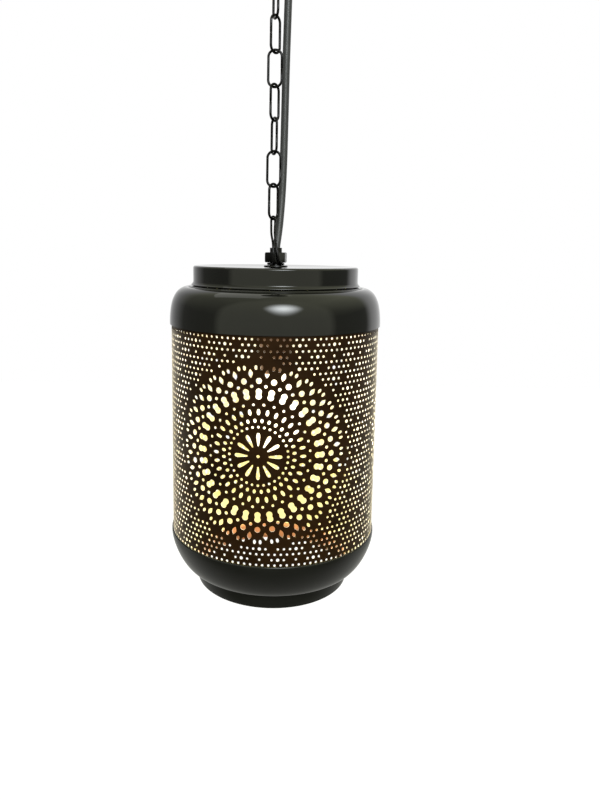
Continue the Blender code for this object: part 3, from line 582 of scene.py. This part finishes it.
class LANTERN_OT_stage(bpy.types.Operator):
    """Camera at the photograph's angle, pale floor, world and lamps"""

    bl_idname = "lantern.stage"
    bl_label = "Stage"

    floor_size = 6.0
    floor_drop = 0.75
    floor_back = (-0.6, 0.35)
    floor_share = 0.32
    floor_glow = 0.94
    wall_side = (0.10, 0.995, 0.0)
    wall_back = (0.45, 0.70)
    wall_dim = ((-0.9, 0.0), (0.40, 1.0))
    room_stops = (
        (0.24, (0.66, 0.67, 0.55)),
        (0.80, (0.40, 0.40, 0.39)),
        (0.31, (0.17, 0.17, 0.15)),
        (0.70, (0.15, 0.15, 0.14)),
    )
    ceiling = (0.98, 1.00, 0.74)
    ceiling_rise = (0.15, 0.75)
    ceiling_lean = ((-0.7, 0.7), (0.45, 1.0))

    def execute(self, context):
        scene = context.scene
        scene.view_settings.view_transform = "Standard"
        self.add_camera(scene)
        self.add_floor()
        self.add_world(scene)
        self.add_lamps()
        return {"FINISHED"}

    def add_camera(self, scene):
        data = bpy.data.cameras.new("camera")
        data.sensor_fit = "VERTICAL"
        data.sensor_height = SENSOR
        data.lens = SENSOR * PHOTO_FOCUS / PHOTO_H
        data.shift_x = (PHOTO_W / 2 - PHOTO_MIDDLE[0]) / PHOTO_H
        data.shift_y = (PHOTO_MIDDLE[1] - PHOTO_H / 2) / PHOTO_H
        data.clip_start = 0.01
        camera = new_object("camera", data)
        tilt = Matrix.Rotation(radians(90 - CAMERA_PITCH), 4, "X")
        roll = Matrix.Rotation(radians(CAMERA_ROLL), 4, "Z")
        place = Matrix.Translation((0.0, -CAMERA_AWAY, RIM_Z + CAMERA_OVER_RIM))
        camera.matrix_world = place @ tilt @ roll
        scene.camera = camera

    def add_floor(self):
        deselect()
        bpy.ops.mesh.primitive_plane_add(size=self.floor_size, location=(0, 0, 0))
        floor = bpy.context.active_object
        floor.name = "floor"
        edit_all()
        bpy.ops.transform.translate(value=(0, 0, RIM_Z - self.floor_drop))
        bpy.ops.object.mode_set(mode="OBJECT")
        made, tree, shader = new_material("pale_floor")
        shader["Base Color"].default_value = (0.13, 0.13, 0.12, 1.0)
        shader["Roughness"].default_value = 0.9
        shader["Emission Color"].default_value = (1.0, 1.0, 1.0, 1.0)
        _, axes = position(tree)
        seen = self.background_rays(tree, axes["Y"], self.floor_back, self.floor_share)
        lift = calculate(tree, "MULTIPLY", seen, self.floor_glow)
        tree.links.new(lift, shader["Emission Strength"])
        floor.data.materials.append(made)

    def background_rays(self, tree, depth, span, share=1.0):
        """1 for rays of the camera, this share for mirrored and refracted rays to the back."""
        path = add(tree, "LightPath").outputs
        behind = map_range(tree, depth, span, (0.0, share), smooth=True)
        both = calculate(tree, "MAXIMUM", path["Is Glossy Ray"], path["Is Transmission Ray"])
        back = calculate(tree, "MULTIPLY", both, behind)
        return calculate(tree, "MAXIMUM", path["Is Camera Ray"], back)

    def add_world(self, scene):
        """A dim room with a paler front, back and ceiling, and a white wall behind the lantern."""
        world = bpy.data.worlds.new("studio")
        scene.world = world
        world.use_nodes = True
        tree = world.node_tree
        place, axes = position(tree, "Generated")
        ramp = add(tree, "ValToRGB", {"Fac": map_range(tree, axes["Y"], (-1.0, 1.0))})
        stops = ramp.color_ramp.elements
        for k, (along, rgb) in enumerate(self.room_stops):
            stop = stops[k] if k < 2 else stops.new(along)
            stop.position = along
            stop.color = opaque(rgb)
        high = map_range(tree, axes["Z"], self.ceiling_rise)
        lean = map_range(tree, axes["X"], *self.ceiling_lean)
        lift = calculate(tree, "MULTIPLY", high, lean)
        room = mix(tree, lift, ramp.outputs["Color"], opaque(self.ceiling), "LIGHTEN")
        depth = add(tree, "VectorMath", {0: place, 1: self.wall_side}, operation="DOT_PRODUCT")
        seen = self.background_rays(tree, depth.outputs["Value"], self.wall_back)
        dim = map_range(tree, axes["X"], *self.wall_dim)
        camera_ray = add(tree, "LightPath").outputs["Is Camera Ray"]
        white = calculate(tree, "MAXIMUM", dim, camera_ray)
        wall = mix(tree, white, (0.0, 0.0, 0.0, 1.0), (1.0, 1.0, 1.0, 1.0))
        tree.links.new(mix(tree, seen, room, wall), tree.nodes["Background"].inputs["Color"])

    def add_lamps(self):
        front = ("front_soft", (0.24, -1.5, 0.55), RIM_Z - 0.05, (1.35, 1.2), 85.0)
        top = ("top_soft", (-0.6, 0.4, 1.6), RIM_Z, (1.4, 1.4), 5.0)
        for name, place, aim, size, power in (front, top):
            data = bpy.data.lights.new(name, "AREA")
            data.shape = "RECTANGLE"
            data.size, data.size_y = size
            data.energy = power
            if name == "front_soft":
                data.color = (0.93, 0.98, 1.0)
                self.fade(data)
            ahead = Vector((0, 0, aim)) - Vector(place)
            turn = ahead.to_track_quat("-Z", "Y").to_matrix().to_4x4()
            new_object(name, data).matrix_world = Matrix.Translation(place) @ turn

    def fade(self, data):
        """Dims the lamp towards its rim, as a cloth before it does."""
        data.use_nodes = True
        tree = data.node_tree
        place = add(tree, "NewGeometry").outputs["Parametric"]
        away = add(tree, "VectorMath", {0: place, 1: (0.5, 0.5, 0.0)}, operation="DISTANCE")
        fall = map_range(tree, away.outputs["Value"], (0.0, 0.5), (1.0, 0.0), smooth=True)
        tree.links.new(fall, tree.nodes["Emission"].inputs["Strength"])


# Pieces


class LANTERN_OT_cord(bpy.types.Operator):
    """Round flex beside the chain, in stretches that are cut at the middles of links"""

    bl_idname = "lantern.cord"
    bl_label = "Cord"

    bodies = ("canopy", "link_1", "link_3", "link_5", "link_7", "lantern")
    bend_top = (*BUSH, -CANOPY_H - 0.004)
    bend_low = (0.0, 0.0, RIM_Z + 0.0180)

    def execute(self, context):
        route = [tuple(p) for p in rounded(CORD_ROUTE, 6)][::-1]
        mids = [RIM_Z + CONTACT_0 + PITCH * (k + 0.5) for k in (6, 4, 2, 0)]
        cuts = [route[0][2], *mids, route[-1][2]]
        bodies = self.bodies
        radius = shape().cord / 2
        last = len(bodies) - 2
        for k in range(last + 1):
            points = self.stretch(route, cuts[k], cuts[k + 1])
            piece = self.tube(points, radius)
            name = "cord_stretch_%d" % (k + 1)
            dress(piece, name, surface("cord_sheath"), None, [])
            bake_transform(piece)
            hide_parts("power_cord")
        return {"FINISHED"}

    def stretch(self, route, top, low):
        """The part of the route between two heights, with its ends exactly on them."""
        out = {p for p in route if low - 1e-9 <= p[2] <= top + 1e-9}
        for a, b in zip(route, route[1:]):
            for level in (top, low):
                if (a[2] - level) * (b[2] - level) < 0:
                    t = (level - a[2]) / (b[2] - a[2])
                    out.add(tuple(x + (y - x) * t for x, y in zip(a, b)))
        return sorted(out, key=lambda p: -p[2])

    def tube(self, points, radius, sides=20):
        """A mesh tube with level rings, so that the next stretch meets it without a step."""
        bm = bmesh.new()
        rim = circle(radius, sides)
        rings = [[bm.verts.new((x + u, y + v, z)) for u, v in rim] for x, y, z in points]
        for first, second in zip(rings, rings[1:]):
            for k in range(sides):
                j = (k + 1) % sides
                bm.faces.new((first[k], second[k], second[j], first[j]))
        bm.faces.new(rings[0])
        bm.faces.new(rings[-1][::-1])
        bmesh.ops.recalc_face_normals(bm, faces=bm.faces)
        mesh = bpy.data.meshes.new("cord")
        bm.to_mesh(mesh)
        bm.free()
        return new_object("cord", mesh)


class LANTERN_OT_shells(bpy.types.Operator):
    """Spun shells: collar with its lid, shoulder, lower cap and foot"""

    bl_idname = "lantern.shells"
    bl_label = "Spun shells"

    bowl_reach = 0.0016
    foot_reach = 0.0790

    def execute(self, context):
        self.spin(rounded(COLLAR, 3) + [Vector(p) for p in COLLAR_INSIDE], "collar_lid", "top_collar")
        self.spin(self.hollow(SHOULDER), "shoulder_shell", "upper_shoulder")
        bowl = self.spin(self.hollow(BOWL), "lower_bowl", "lower_cap")
        paint_inside(bowl, gold(), shape().drum_radius - self.bowl_reach)
        foot = self.spin(FOOT, "foot_band", "foot_ring")
        paint_inside(foot, paint("copper_paint"), self.foot_reach)
        return {"FINISHED"}

    def hollow(self, points):
        """The rounded profile, there outside and back inside."""
        curve = rounded(points)
        return curve + offset(curve, shape().sheet)[::-1]

    def spin(self, profile, name, node):
        piece = turned(below_rim(profile), shape().segments)
        return dress(piece, name, paint("black_enamel"), "lantern", [node])


class LANTERN_OT_drum(bpy.types.Operator):
    """Pierced drum: the sheet is meshed flat with all its holes, then rolled"""

    bl_idname = "lantern.drum"
    bl_label = "Pierced drum"

    # The flat sheet has its middle under the front figure's; u runs along it and v up
    butt = 0.0003
    columns = 240
    rows = 40
    slots = 117
    first_slot = 0.0021
    row_step = 0.0099
    # Number of rows, height of the first, and their shift in slots
    small_rows = (21, 0.10025, 0.5)
    mixed_rows = (20, 0.0953, 0.0)
    wide = 1.15
    seam_margin = 0.0022
    clear_radius = 0.0828

    # A figure's holes: distance from its middle, size along the spoke and across, and sides
    tiles = (-1, 0, 1)
    tile_shift = 0.0003
    eye = (0.0026, 10)
    petals = 12
    petal = in_mm(
        (8.9, 0.0), (9.4, 0.6), (12.0, 1.0), (15.0, 1.4),
        (17.8, 1.65), (19.6, 1.4), (20.4, 0.8), (20.7, 0.0),
    )
    spokes = 32
    inner_ovals = (
        (0.0257, 0.0023, 0.0023, 8), (0.0312, 0.0037, 0.0027, 10),
        (0.0387, 0.0054, 0.0029, 12), (0.0451, 0.0024, 0.0024, 8),
    )
    waist_reach = 0.0542
    waist = in_mm((-4.8, 0.0), (-4.4, 1.3), (-3.5, 2.3), (-2.3, 2.7), (-1.0, 2.4), (0.0, 2.15))
    outer_ovals = ((0.0609, 0.0029, 0.0029, 10), (0.0655, 0.0052, 0.0050, 14))
    leaf = (0.0680, 0.0754, 0.0038)
    twin = (0.0767, 0.0041, 0.0026, 10)
    twin_shift = 0.0025
    twin_reach = 0.077

    def execute(self, context):
        settings = shape()
        run = 2 * pi * settings.drum_radius
        holes = self.field(run) + self.figures(run)
        low = settings.figure_mid - settings.drum_low
        high = settings.figure_mid - settings.drum_top
        flat, faces = self.triangles(holes, run, low, high)
        self.finish(*self.roll(flat, faces, settings.drum_radius))
        return {"FINISHED"}

    def field(self, run):
        """Rows of small holes; every second row has big ones in a repeat of six."""
        small = shape().dot
        big = shape().big_dot
        step = run / self.slots
        repeat = (
            {0: big, 1: small, 3: small, 4: small, 5: small},
            {3: big, 4: small, 0: small, 2: small},
            {0: big, 1: small, 2: self.wide * small, 3: small, 5: small},
        )
        middles = [tile * run / 3 for tile in self.tiles]
        holes = []

        def punch(u, v, diameter):
            if abs(u) > run / 2 - self.seam_margin:
                return
            for middle in middles:
                away = (u - middle + run / 2) % run - run / 2
                if hypot(away, v) < self.clear_radius:
                    return
            holes.append(self.ring(u, v, diameter, 8))

        half = self.slots // 2 + 1
        for count, top, shift in (self.small_rows, self.mixed_rows):
            for row in range(count):
                for slot in range(-half, half):
                    diameter = small if shift else repeat[row % 3].get(slot % 6)
                    if diameter:
                        u = self.first_slot + step * (slot + shift)
                        punch(u, top - self.row_step * row, diameter)
        return holes

    def ring(self, u, v, diameter, sides):
        return [(u + x, v + y) for x, y in circle(diameter / 2, sides, 0.5)]

    def figures(self, run):
        """Three round figures of petals, drops, leaves and waisted holes."""
        petal = self.mirrored(self.petal)
        side = self.waist + [(-x, y) for x, y in self.waist[-2::-1]]
        waisted = [(self.waist_reach + x, y) for x, y in self.mirrored(side)]
        inner = [self.oval(*size) for size in self.inner_ovals]
        outer = [self.oval(*size) for size in self.outer_ovals]
        twin = self.oval(*self.twin)
        aside = self.spokes * self.twin_shift / self.twin_reach / (2 * pi)
        # Each outline and its turn, in steps from spoke to spoke
        outlines = list(zip(inner, (0.0, 0.5, 0.0, 0.5)))
        outlines += [(waisted, 0.0), (outer[0], 0.5), (outer[1], 0.0), (self.lens(*self.leaf), 0.5)]
        outlines += [(twin, -aside), (twin, aside)]
        holes = []
        for tile in self.tiles:
            middle = tile * run / 3 + self.tile_shift
            holes.append(self.ring(middle, 0.0, *self.eye))
            for k in range(self.petals):
                holes.append(self.spoke(middle, k / self.petals, petal))
            for k in range(self.spokes):
                for outline, turn in outlines:
                    holes.append(self.spoke(middle, (k + turn) / self.spokes, outline))
        return holes

    def mirrored(self, side):
        """The outline of a hole from one of its sides."""
        return [*side, *((x, -y) for x, y in side[-2:0:-1])]

    def lens(self, start, end, width):
        shares = [k / 6 for k in range(7)]
        side = [(start + (end - start) * t, width / 2 * sin(pi * t)) for t in shares]
        return self.mirrored(side)

    def oval(self, reach, along, across, sides):
        return [(reach + along / 2 * x, across / 2 * y) for x, y in circle(1.0, sides)]

    def spoke(self, middle, turn, outline):
        c, s = cos(2 * pi * turn), sin(2 * pi * turn)
        return [(middle + s * x + c * y, c * x - s * y) for x, y in outline]

    def triangles(self, holes, run, low, high):
        """Triangles of the flat sheet outside the holes."""
        points = []
        edges = []
        columns, rows = self.columns, self.rows
        end = run / 2 - self.butt / 2
        for v in (low, high):
            start = len(points)
            points += [(-end + 2 * end * k / columns, v) for k in range(columns + 1)]
            edges += [(start + k, start + k + 1) for k in range(columns)]
        for u, first, last in ((-end, 0, columns + 1), (end, columns, 2 * columns + 1)):
            chain = [first]
            for k in range(1, rows):
                points.append((u, low + (high - low) * k / rows))
                chain.append(len(points) - 1)
            chain.append(last)
            edges += list(zip(chain, chain[1:]))
        owner = [-1] * len(points)
        for index, outline in enumerate(holes):
            start = len(points)
            count = len(outline)
            points += outline
            owner += [index] * count
            edges += [(start + i, start + (i + 1) % count) for i in range(count)]
        flat, _, faces, origins, _, _ = delaunay_2d_cdt(
            [Vector(p) * MM_PER_M for p in points], edges, [], 1, 1e-6
        )
        owners = [owner[o[0]] if o else -1 for o in origins]
        flat = [p / MM_PER_M for p in flat]
        kept = []
        for face in faces:
            hole = owners[face[0]]
            if hole >= 0 and all(owners[i] == hole for i in face):
                middle = (flat[face[0]] + flat[face[1]] + flat[face[2]]) / 3
                if self.contains(holes[hole], middle):
                    continue
            kept.append(face)
        return flat, kept

    def contains(self, outline, place):
        found = False
        for (x0, y0), (x1, y1) in zip(outline, outline[1:] + outline[:1]):
            if (y0 > place.y) != (y1 > place.y):
                if place.x < (x1 - x0) * (place.y - y0) / (y1 - y0) + x0:
                    found = not found
        return found

    def roll(self, flat, faces, radius):
        """The rolled sheet with its inside and the walls of its holes, and each face's material."""
        yaw = shape().figure_yaw
        mid = RIM_Z - shape().figure_mid
        count = len(flat)
        verts = []
        radial = []
        for reach in (radius, radius - shape().drum_sheet):
            for place in flat:
                angle = place.x / radius + yaw
                direction = Vector((sin(angle), -cos(angle), 0.0))
                verts.append((direction.x * reach, direction.y * reach, mid + place.y))
                radial.append(direction)
        polygons = [tuple(face) for face in faces]
        polygons += [tuple(i + count for i in reversed(face)) for face in faces]
        border = {}
        for face in faces:
            for i in range(3):
                a, b = face[i], face[(i + 1) % 3]
                if border.pop((b, a), None) is None:
                    border[(a, b)] = True
        walls = [(b, a, a + count, b + count) for a, b in border]
        mesh = bpy.data.meshes.new("pierced_drum")
        mesh.from_pydata(verts, [], polygons + walls)
        mesh.update()
        edge = min(max(p.y for p in flat), -min(p.y for p in flat)) - 1e-5
        normals = []
        slots = []
        for polygon in mesh.polygons:
            polygon.use_smooth = True
            if polygon.index < len(faces):
                normals += [radial[i] for i in polygon.vertices]
                slots.append(0)
            elif polygon.index < 2 * len(faces):
                normals += [-radial[i] for i in polygon.vertices]
                slots.append(1)
            else:
                normals += [polygon.normal.copy()] * polygon.loop_total
                rim = all(abs(flat[i % count].y) > edge for i in polygon.vertices)
                slots.append(0 if rim else 2)
        mesh.normals_split_custom_set(normals)
        return mesh, slots

    def finish(self, mesh, slots):
        obj = new_object("pierced_drum", mesh)
        dress(obj, "pierced_drum", drum_paint(), "lantern", ["perforated_drum"], None)
        mesh.materials.append(gold())
        mesh.materials.append(paint("hole_edge"))
        mesh.polygons.foreach_set("material_index", slots)


class LANTERN_OT_gland(bpy.types.Operator):
    """Washer, hex nut and threaded nipple on the lid"""

    bl_idname = "lantern.gland"
    bl_label = "Gland"

    turns = 5
    shank_r = (0.0056, 0.0057)
    root_r = 0.00565
    tip_r = 0.0055
    corner_r = (0.0098, 0.0114)
    corner_h = 0.0011
    over = 0.0001
    edge = 0.0002

    def execute(self, context):
        oiled = surface("oiled_steel")
        disc = turned(below_rim(WASHER), segments=48)
        dress(disc, "gland_disc", oiled, "lantern", ["gland_washer"])
        dress(self.nut(), "gland_hex", oiled, "lantern", ["gland_nut"])
        tube = turned(below_rim(self.thread()), segments=40)
        dress(tube, "threaded_tube", oiled, "lantern", ["threaded_nipple"], 60.0)
        return {"FINISHED"}

    def thread(self):
        """A tube with rings for the turns of its thread above the nut."""
        low_r, high_r = self.shank_r
        profile = [(NIPPLE_BORE_R, NIPPLE_LOW), (low_r, NIPPLE_LOW), (high_r, NUT_HIGH)]
        step = (NIPPLE_HIGH - NUT_HIGH) / self.turns
        root, crest = self.root_r, NIPPLE_R
        for k in range(self.turns):
            z = NUT_HIGH + step * k
            for radius, share in ((root, 0.1), (crest, 0.4), (crest, 0.55), (root, 0.9)):
                profile.append((radius, z + share * step))
        return profile + [(self.tip_r, NIPPLE_HIGH), (NIPPLE_BORE_R, NIPPLE_HIGH)]

    def nut(self):
        """A hexagon whose corners are turned off above and below, with a bore."""
        low, high = RIM_Z + NUT_LOW, RIM_Z + NUT_HIGH
        deselect()
        bpy.ops.mesh.primitive_cylinder_add(
            vertices=6, radius=NUT_CORNER_R, depth=high - low, location=(0, 0, 0)
        )
        obj = bpy.context.active_object
        edit_all()
        turn_all(NUT_YAW, "Z")
        bpy.ops.transform.translate(value=(0, 0, (low + high) / 2))
        bpy.ops.object.mode_set(mode="OBJECT")
        end_r, side_r = self.corner_r
        end = low - self.over
        lower = [(NUT_BORE_R, end), (end_r, end), (side_r, low + self.corner_h)]
        barrel = lower + [(radius, low + high - z) for radius, z in reversed(lower)]
        apply_boolean(obj, turned(barrel, segments=64), "INTERSECT")
        bevel = obj.modifiers.new("edge", "BEVEL")
        bevel.width = self.edge
        bevel.segments = 2
        bevel.limit_method = "ANGLE"
        bpy.ops.object.modifier_apply(modifier="edge")
        return obj


class LANTERN_OT_chain(bpy.types.Operator):
    """Bent-wire links, each with the butt of its wire in one side"""

    bl_idname = "lantern.chain"
    bl_label = "Chain"

    groove_half = 0.0004
    groove_share = 0.72

    def execute(self, context):
        radius = shape().wire / 2
        half = shape().link_width / 2 - radius
        for index, yaw in enumerate(LINK_YAWS):
            low = RIM_Z + CONTACT_0 + PITCH * index - GAP / 2 - radius
            high = low + PITCH + GAP + 2 * radius
            piece = self.link(half, radius, low, high, yaw)
            number = len(LINK_YAWS) - index
            name, body = "wire_link_%d" % number, "link_%d" % number
            nodes = ["chain_link_%d" % number]
            dress(piece, name, surface("blackened_steel"), body, nodes, 60.0)
        return {"FINISHED"}

    def link(self, half, radius, low, high, yaw):
        """A ring of wire, pulled apart into an oval; a small groove marks where its ends butt."""
        deselect()
        bpy.ops.mesh.primitive_torus_add(
            major_radius=half, minor_radius=radius,
            major_segments=40, minor_segments=14, location=(0, 0, 0),
        )
        obj = bpy.context.active_object
        edit_all()
        turn_all(90, "X")
        reach = (high - low) / 2 - half
        bm = bmesh.from_edit_mesh(obj.data)
        for vert in bm.verts:
            vert.co.z += reach if vert.co.z > 1e-6 else -reach
        bmesh.update_edit_mesh(obj.data)
        for level in (-self.groove_half, 0.0, self.groove_half):
            bpy.ops.mesh.select_all(action="SELECT")
            bpy.ops.mesh.bisect(plane_co=(0, 0, level), plane_no=(0, 0, 1))
        bm = bmesh.from_edit_mesh(obj.data)
        for vert in bm.verts:
            if vert.co.x < 0 and abs(vert.co.z) < 1e-5:
                vert.co.x = -half + (vert.co.x + half) * self.groove_share
                vert.co.y *= self.groove_share
        bmesh.update_edit_mesh(obj.data)
        bpy.ops.mesh.select_all(action="SELECT")
        turn_all(-yaw, "Z")
        bpy.ops.transform.translate(value=(CHAIN_X, 0, (low + high) / 2))
        bpy.ops.mesh.normals_make_consistent(inside=False)
        bpy.ops.object.mode_set(mode="OBJECT")
        return obj


class LANTERN_OT_loop(bpy.types.Operator):
    """Wire clamped under the nut, its legs rising in front to the eye that holds the chain"""

    bl_idname = "lantern.loop"
    bl_label = "Hanging loop"

    # Knees of the legs, from the ends of the eye, and the legs below them, from the nut's front
    right_knee = (-0.0002, -0.0040)
    left_knee = (0.0003, -0.0050)
    knee_z = 0.0285
    eye_drop = 0.0040
    right_leg = in_mm(
        (6.6, 4.2, 0.0), (5.8, 0.8, 0.5), (4.3, 0.0, 2.2), (2.9, 0.0, 4.6),
        (1.8, 0.0, 8.5), (0.6, 1.0, 14.0), (-0.3, 3.6, 20.5),
    )
    left_leg = in_mm(
        (-3.1, 3.6, 20.5), (-2.6, 1.0, 14.0), (-2.3, 0.0, 8.5),
        (-2.0, 0.0, 3.6), (-2.2, 0.8, 0.6), (-3.6, 4.2, 0.0),
    )

    def execute(self, context):
        radius = LOOP_WIRE / 2
        path = [(x, y, z + RIM_Z) for x, y, z in self.path(radius)]
        piece = wire(rounded(path), radius, resolution=4)
        steel = surface("blackened_steel")
        dress(piece, "wire_loop", steel, "lantern", ["hanging_loop"], 60.0)
        return {"FINISHED"}

    def path(self, radius):
        """From behind the nipple round its right, up to the eye, and down on the left."""
        ring = NIPPLE_R + GAP + radius
        ring_z = WASHER_TOP + GAP + radius
        front = -(NUT_CORNER_R + radius + LOOP_CLEAR)
        eye_z = CONTACT_0 + radius - LOOP_HALF
        sx = LOOP_HALF * cos(radians(LOOP_YAW))
        sy = LOOP_HALF * sin(radians(LOOP_YAW))
        back_turn = [radians(a) for a in range(8, 141, 22)]
        back = [(ring * sin(a), ring * cos(a), ring_z) for a in back_turn]
        right = [(x, front + y, ring_z + z) for x, y, z in self.right_leg]
        x, y = self.right_knee
        right.append((CHAIN_X + sx + x, y + sy, ring_z + self.knee_z))
        right.append((CHAIN_X + sx, sy, eye_z - self.eye_drop))
        half_turn = [radians(a) for a in range(0, 181, 30)]
        bend = [(CHAIN_X + sx * cos(a), sy * cos(a), eye_z + LOOP_HALF * sin(a)) for a in half_turn]
        left = [(CHAIN_X - sx, -sy, eye_z - self.eye_drop)]
        x, y = self.left_knee
        left.append((CHAIN_X - sx + x, y - sy, ring_z + self.knee_z))
        left += [(x, front + y, ring_z + z) for x, y, z in self.left_leg]
        return back + right + bend + left + [(-x, y, z) for x, y, z in back[::-1]]


class LANTERN_OT_canopy(bpy.types.Operator):
    """Ceiling canopy, with finishes for the bracket, hook, nut, bushing and terminal block"""

    bl_idname = "lantern.canopy"
    bl_label = "Canopy"

    cut_below, cut_above = 0.004, 0.005

    def execute(self, context):
        outer = rounded(CANOPY)
        profile = [tuple(p) for p in outer + offset(outer, -CANOPY_SHEET)[::-1]]
        piece = turned(profile, segments=96, centre=(CHAIN_X, 0.0))
        ends = (-CANOPY_H - self.cut_below, -CANOPY_H + self.cut_above)
        hole = turned([(BUSH_HOLE_R, z) for z in ends], segments=32, centre=BUSH, ring=False)
        apply_boolean(piece, hole, "DIFFERENCE")
        dress(piece, "canopy_cup", paint("black_enamel"), "canopy", ["ceiling_canopy"])
        paint_nodes(surface("zinc_plate"), "canopy_bracket")
        paint_nodes(surface("blackened_steel"), "canopy_nut", "canopy_hook")
        paint_nodes(surface("black_moulding"), "cord_bushing", "terminal_block")
        return {"FINISHED"}


class LANTERN_OT_bulb(bpy.types.Operator):
    """Lampholder finishes, lit bulb and the lamp inside it"""

    bl_idname = "lantern.bulb"
    bl_label = "Bulb"

    # Radii and depths of the neck, then the round part from this angle down to its pole
    neck = ((0.0126, 0.0), (0.0140, 0.0080), (0.0168, 0.0165))
    radius = 0.0300
    first_angle = 52
    sweep = 142
    steps = 13

    def execute(self, context):
        paint_nodes(surface("brown_moulding"), "holder_cap", "holder_body", "holder_ring")
        paint_nodes(surface("glazed_ceramic"), "holder_core")
        paint_nodes(surface("plain_brass"), "centre_contact", "thread_shell")
        zinc = surface("zinc_plate")
        paint_nodes(zinc, "bulb_screw_cap", "bulb_tip", "inner_washer", "inner_lock_nut")
        paint_nodes(gold(), "drum_seam_strip")
        low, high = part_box("bulb_glass")
        bottom, top = low[2], high[2]
        mid = bottom + self.radius
        profile = [(radius, top - depth) for radius, depth in self.neck]
        for k in range(self.steps):
            angle = radians(self.first_angle - self.sweep * k / self.steps)
            profile.append((self.radius * cos(angle), mid + self.radius * sin(angle)))
        outline = [tuple(p) for p in rounded(profile, 3)] + [(0.0, bottom)]
        piece = turned(outline, segments=64, ring=False)
        dress(piece, "lit_bulb", lit_glass(), "bulb", ["bulb_glass"])
        piece.visible_shadow = False
        data = bpy.data.lights.new("filament", "POINT")
        data.energy = look().bulb_power
        data.color = look().glow
        data.shadow_soft_size = 0.02
        lamp = new_object("filament", data)
        lamp.location = (0.0, 0.0, mid)
        lamp.parent = frame["bodies"]["lantern"]
        lamp.matrix_parent_inverse = lamp.parent.matrix_world.inverted()
        return {"FINISHED"}


class LANTERN_PT_panel(bpy.types.Panel):
    """Lists the lantern's settings and the operators that build it"""

    bl_label = "Lantern"
    bl_idname = "LANTERN_PT_panel"
    bl_space_type = "VIEW_3D"
    bl_region_type = "UI"
    bl_category = "Lantern"

    def draw(self, context):
        for group in (context.scene.lantern_shape, context.scene.lantern_look):
            box = self.layout.box()
            for name in group.__annotations__:
                box.prop(group, name)
        for operator in OPERATORS:
            self.layout.operator(operator.bl_idname)


OPERATORS = (
    LANTERN_OT_stage, LANTERN_OT_cord, LANTERN_OT_shells, LANTERN_OT_drum, LANTERN_OT_gland,
    LANTERN_OT_chain, LANTERN_OT_loop, LANTERN_OT_canopy, LANTERN_OT_bulb,
)
CLASSES = (LanternShape, LanternLook, *OPERATORS, LANTERN_PT_panel)


def register():
    for cls in CLASSES:
        bpy.utils.register_class(cls)
    bpy.types.Scene.lantern_shape = PointerProperty(type=LanternShape)
    bpy.types.Scene.lantern_look = PointerProperty(type=LanternLook)


def unregister():
    del bpy.types.Scene.lantern_look
    del bpy.types.Scene.lantern_shape
    for cls in reversed(CLASSES):
        bpy.utils.unregister_class(cls)


def main():
    register()
    bpy.ops.lantern.stage()
    bpy.ops.lantern.cord()
    bpy.ops.lantern.shells()
    bpy.ops.lantern.drum()
    bpy.ops.lantern.gland()
    bpy.ops.lantern.chain()
    bpy.ops.lantern.loop()
    bpy.ops.lantern.canopy()
    bpy.ops.lantern.bulb()


if __name__ == "__main__":
    main()
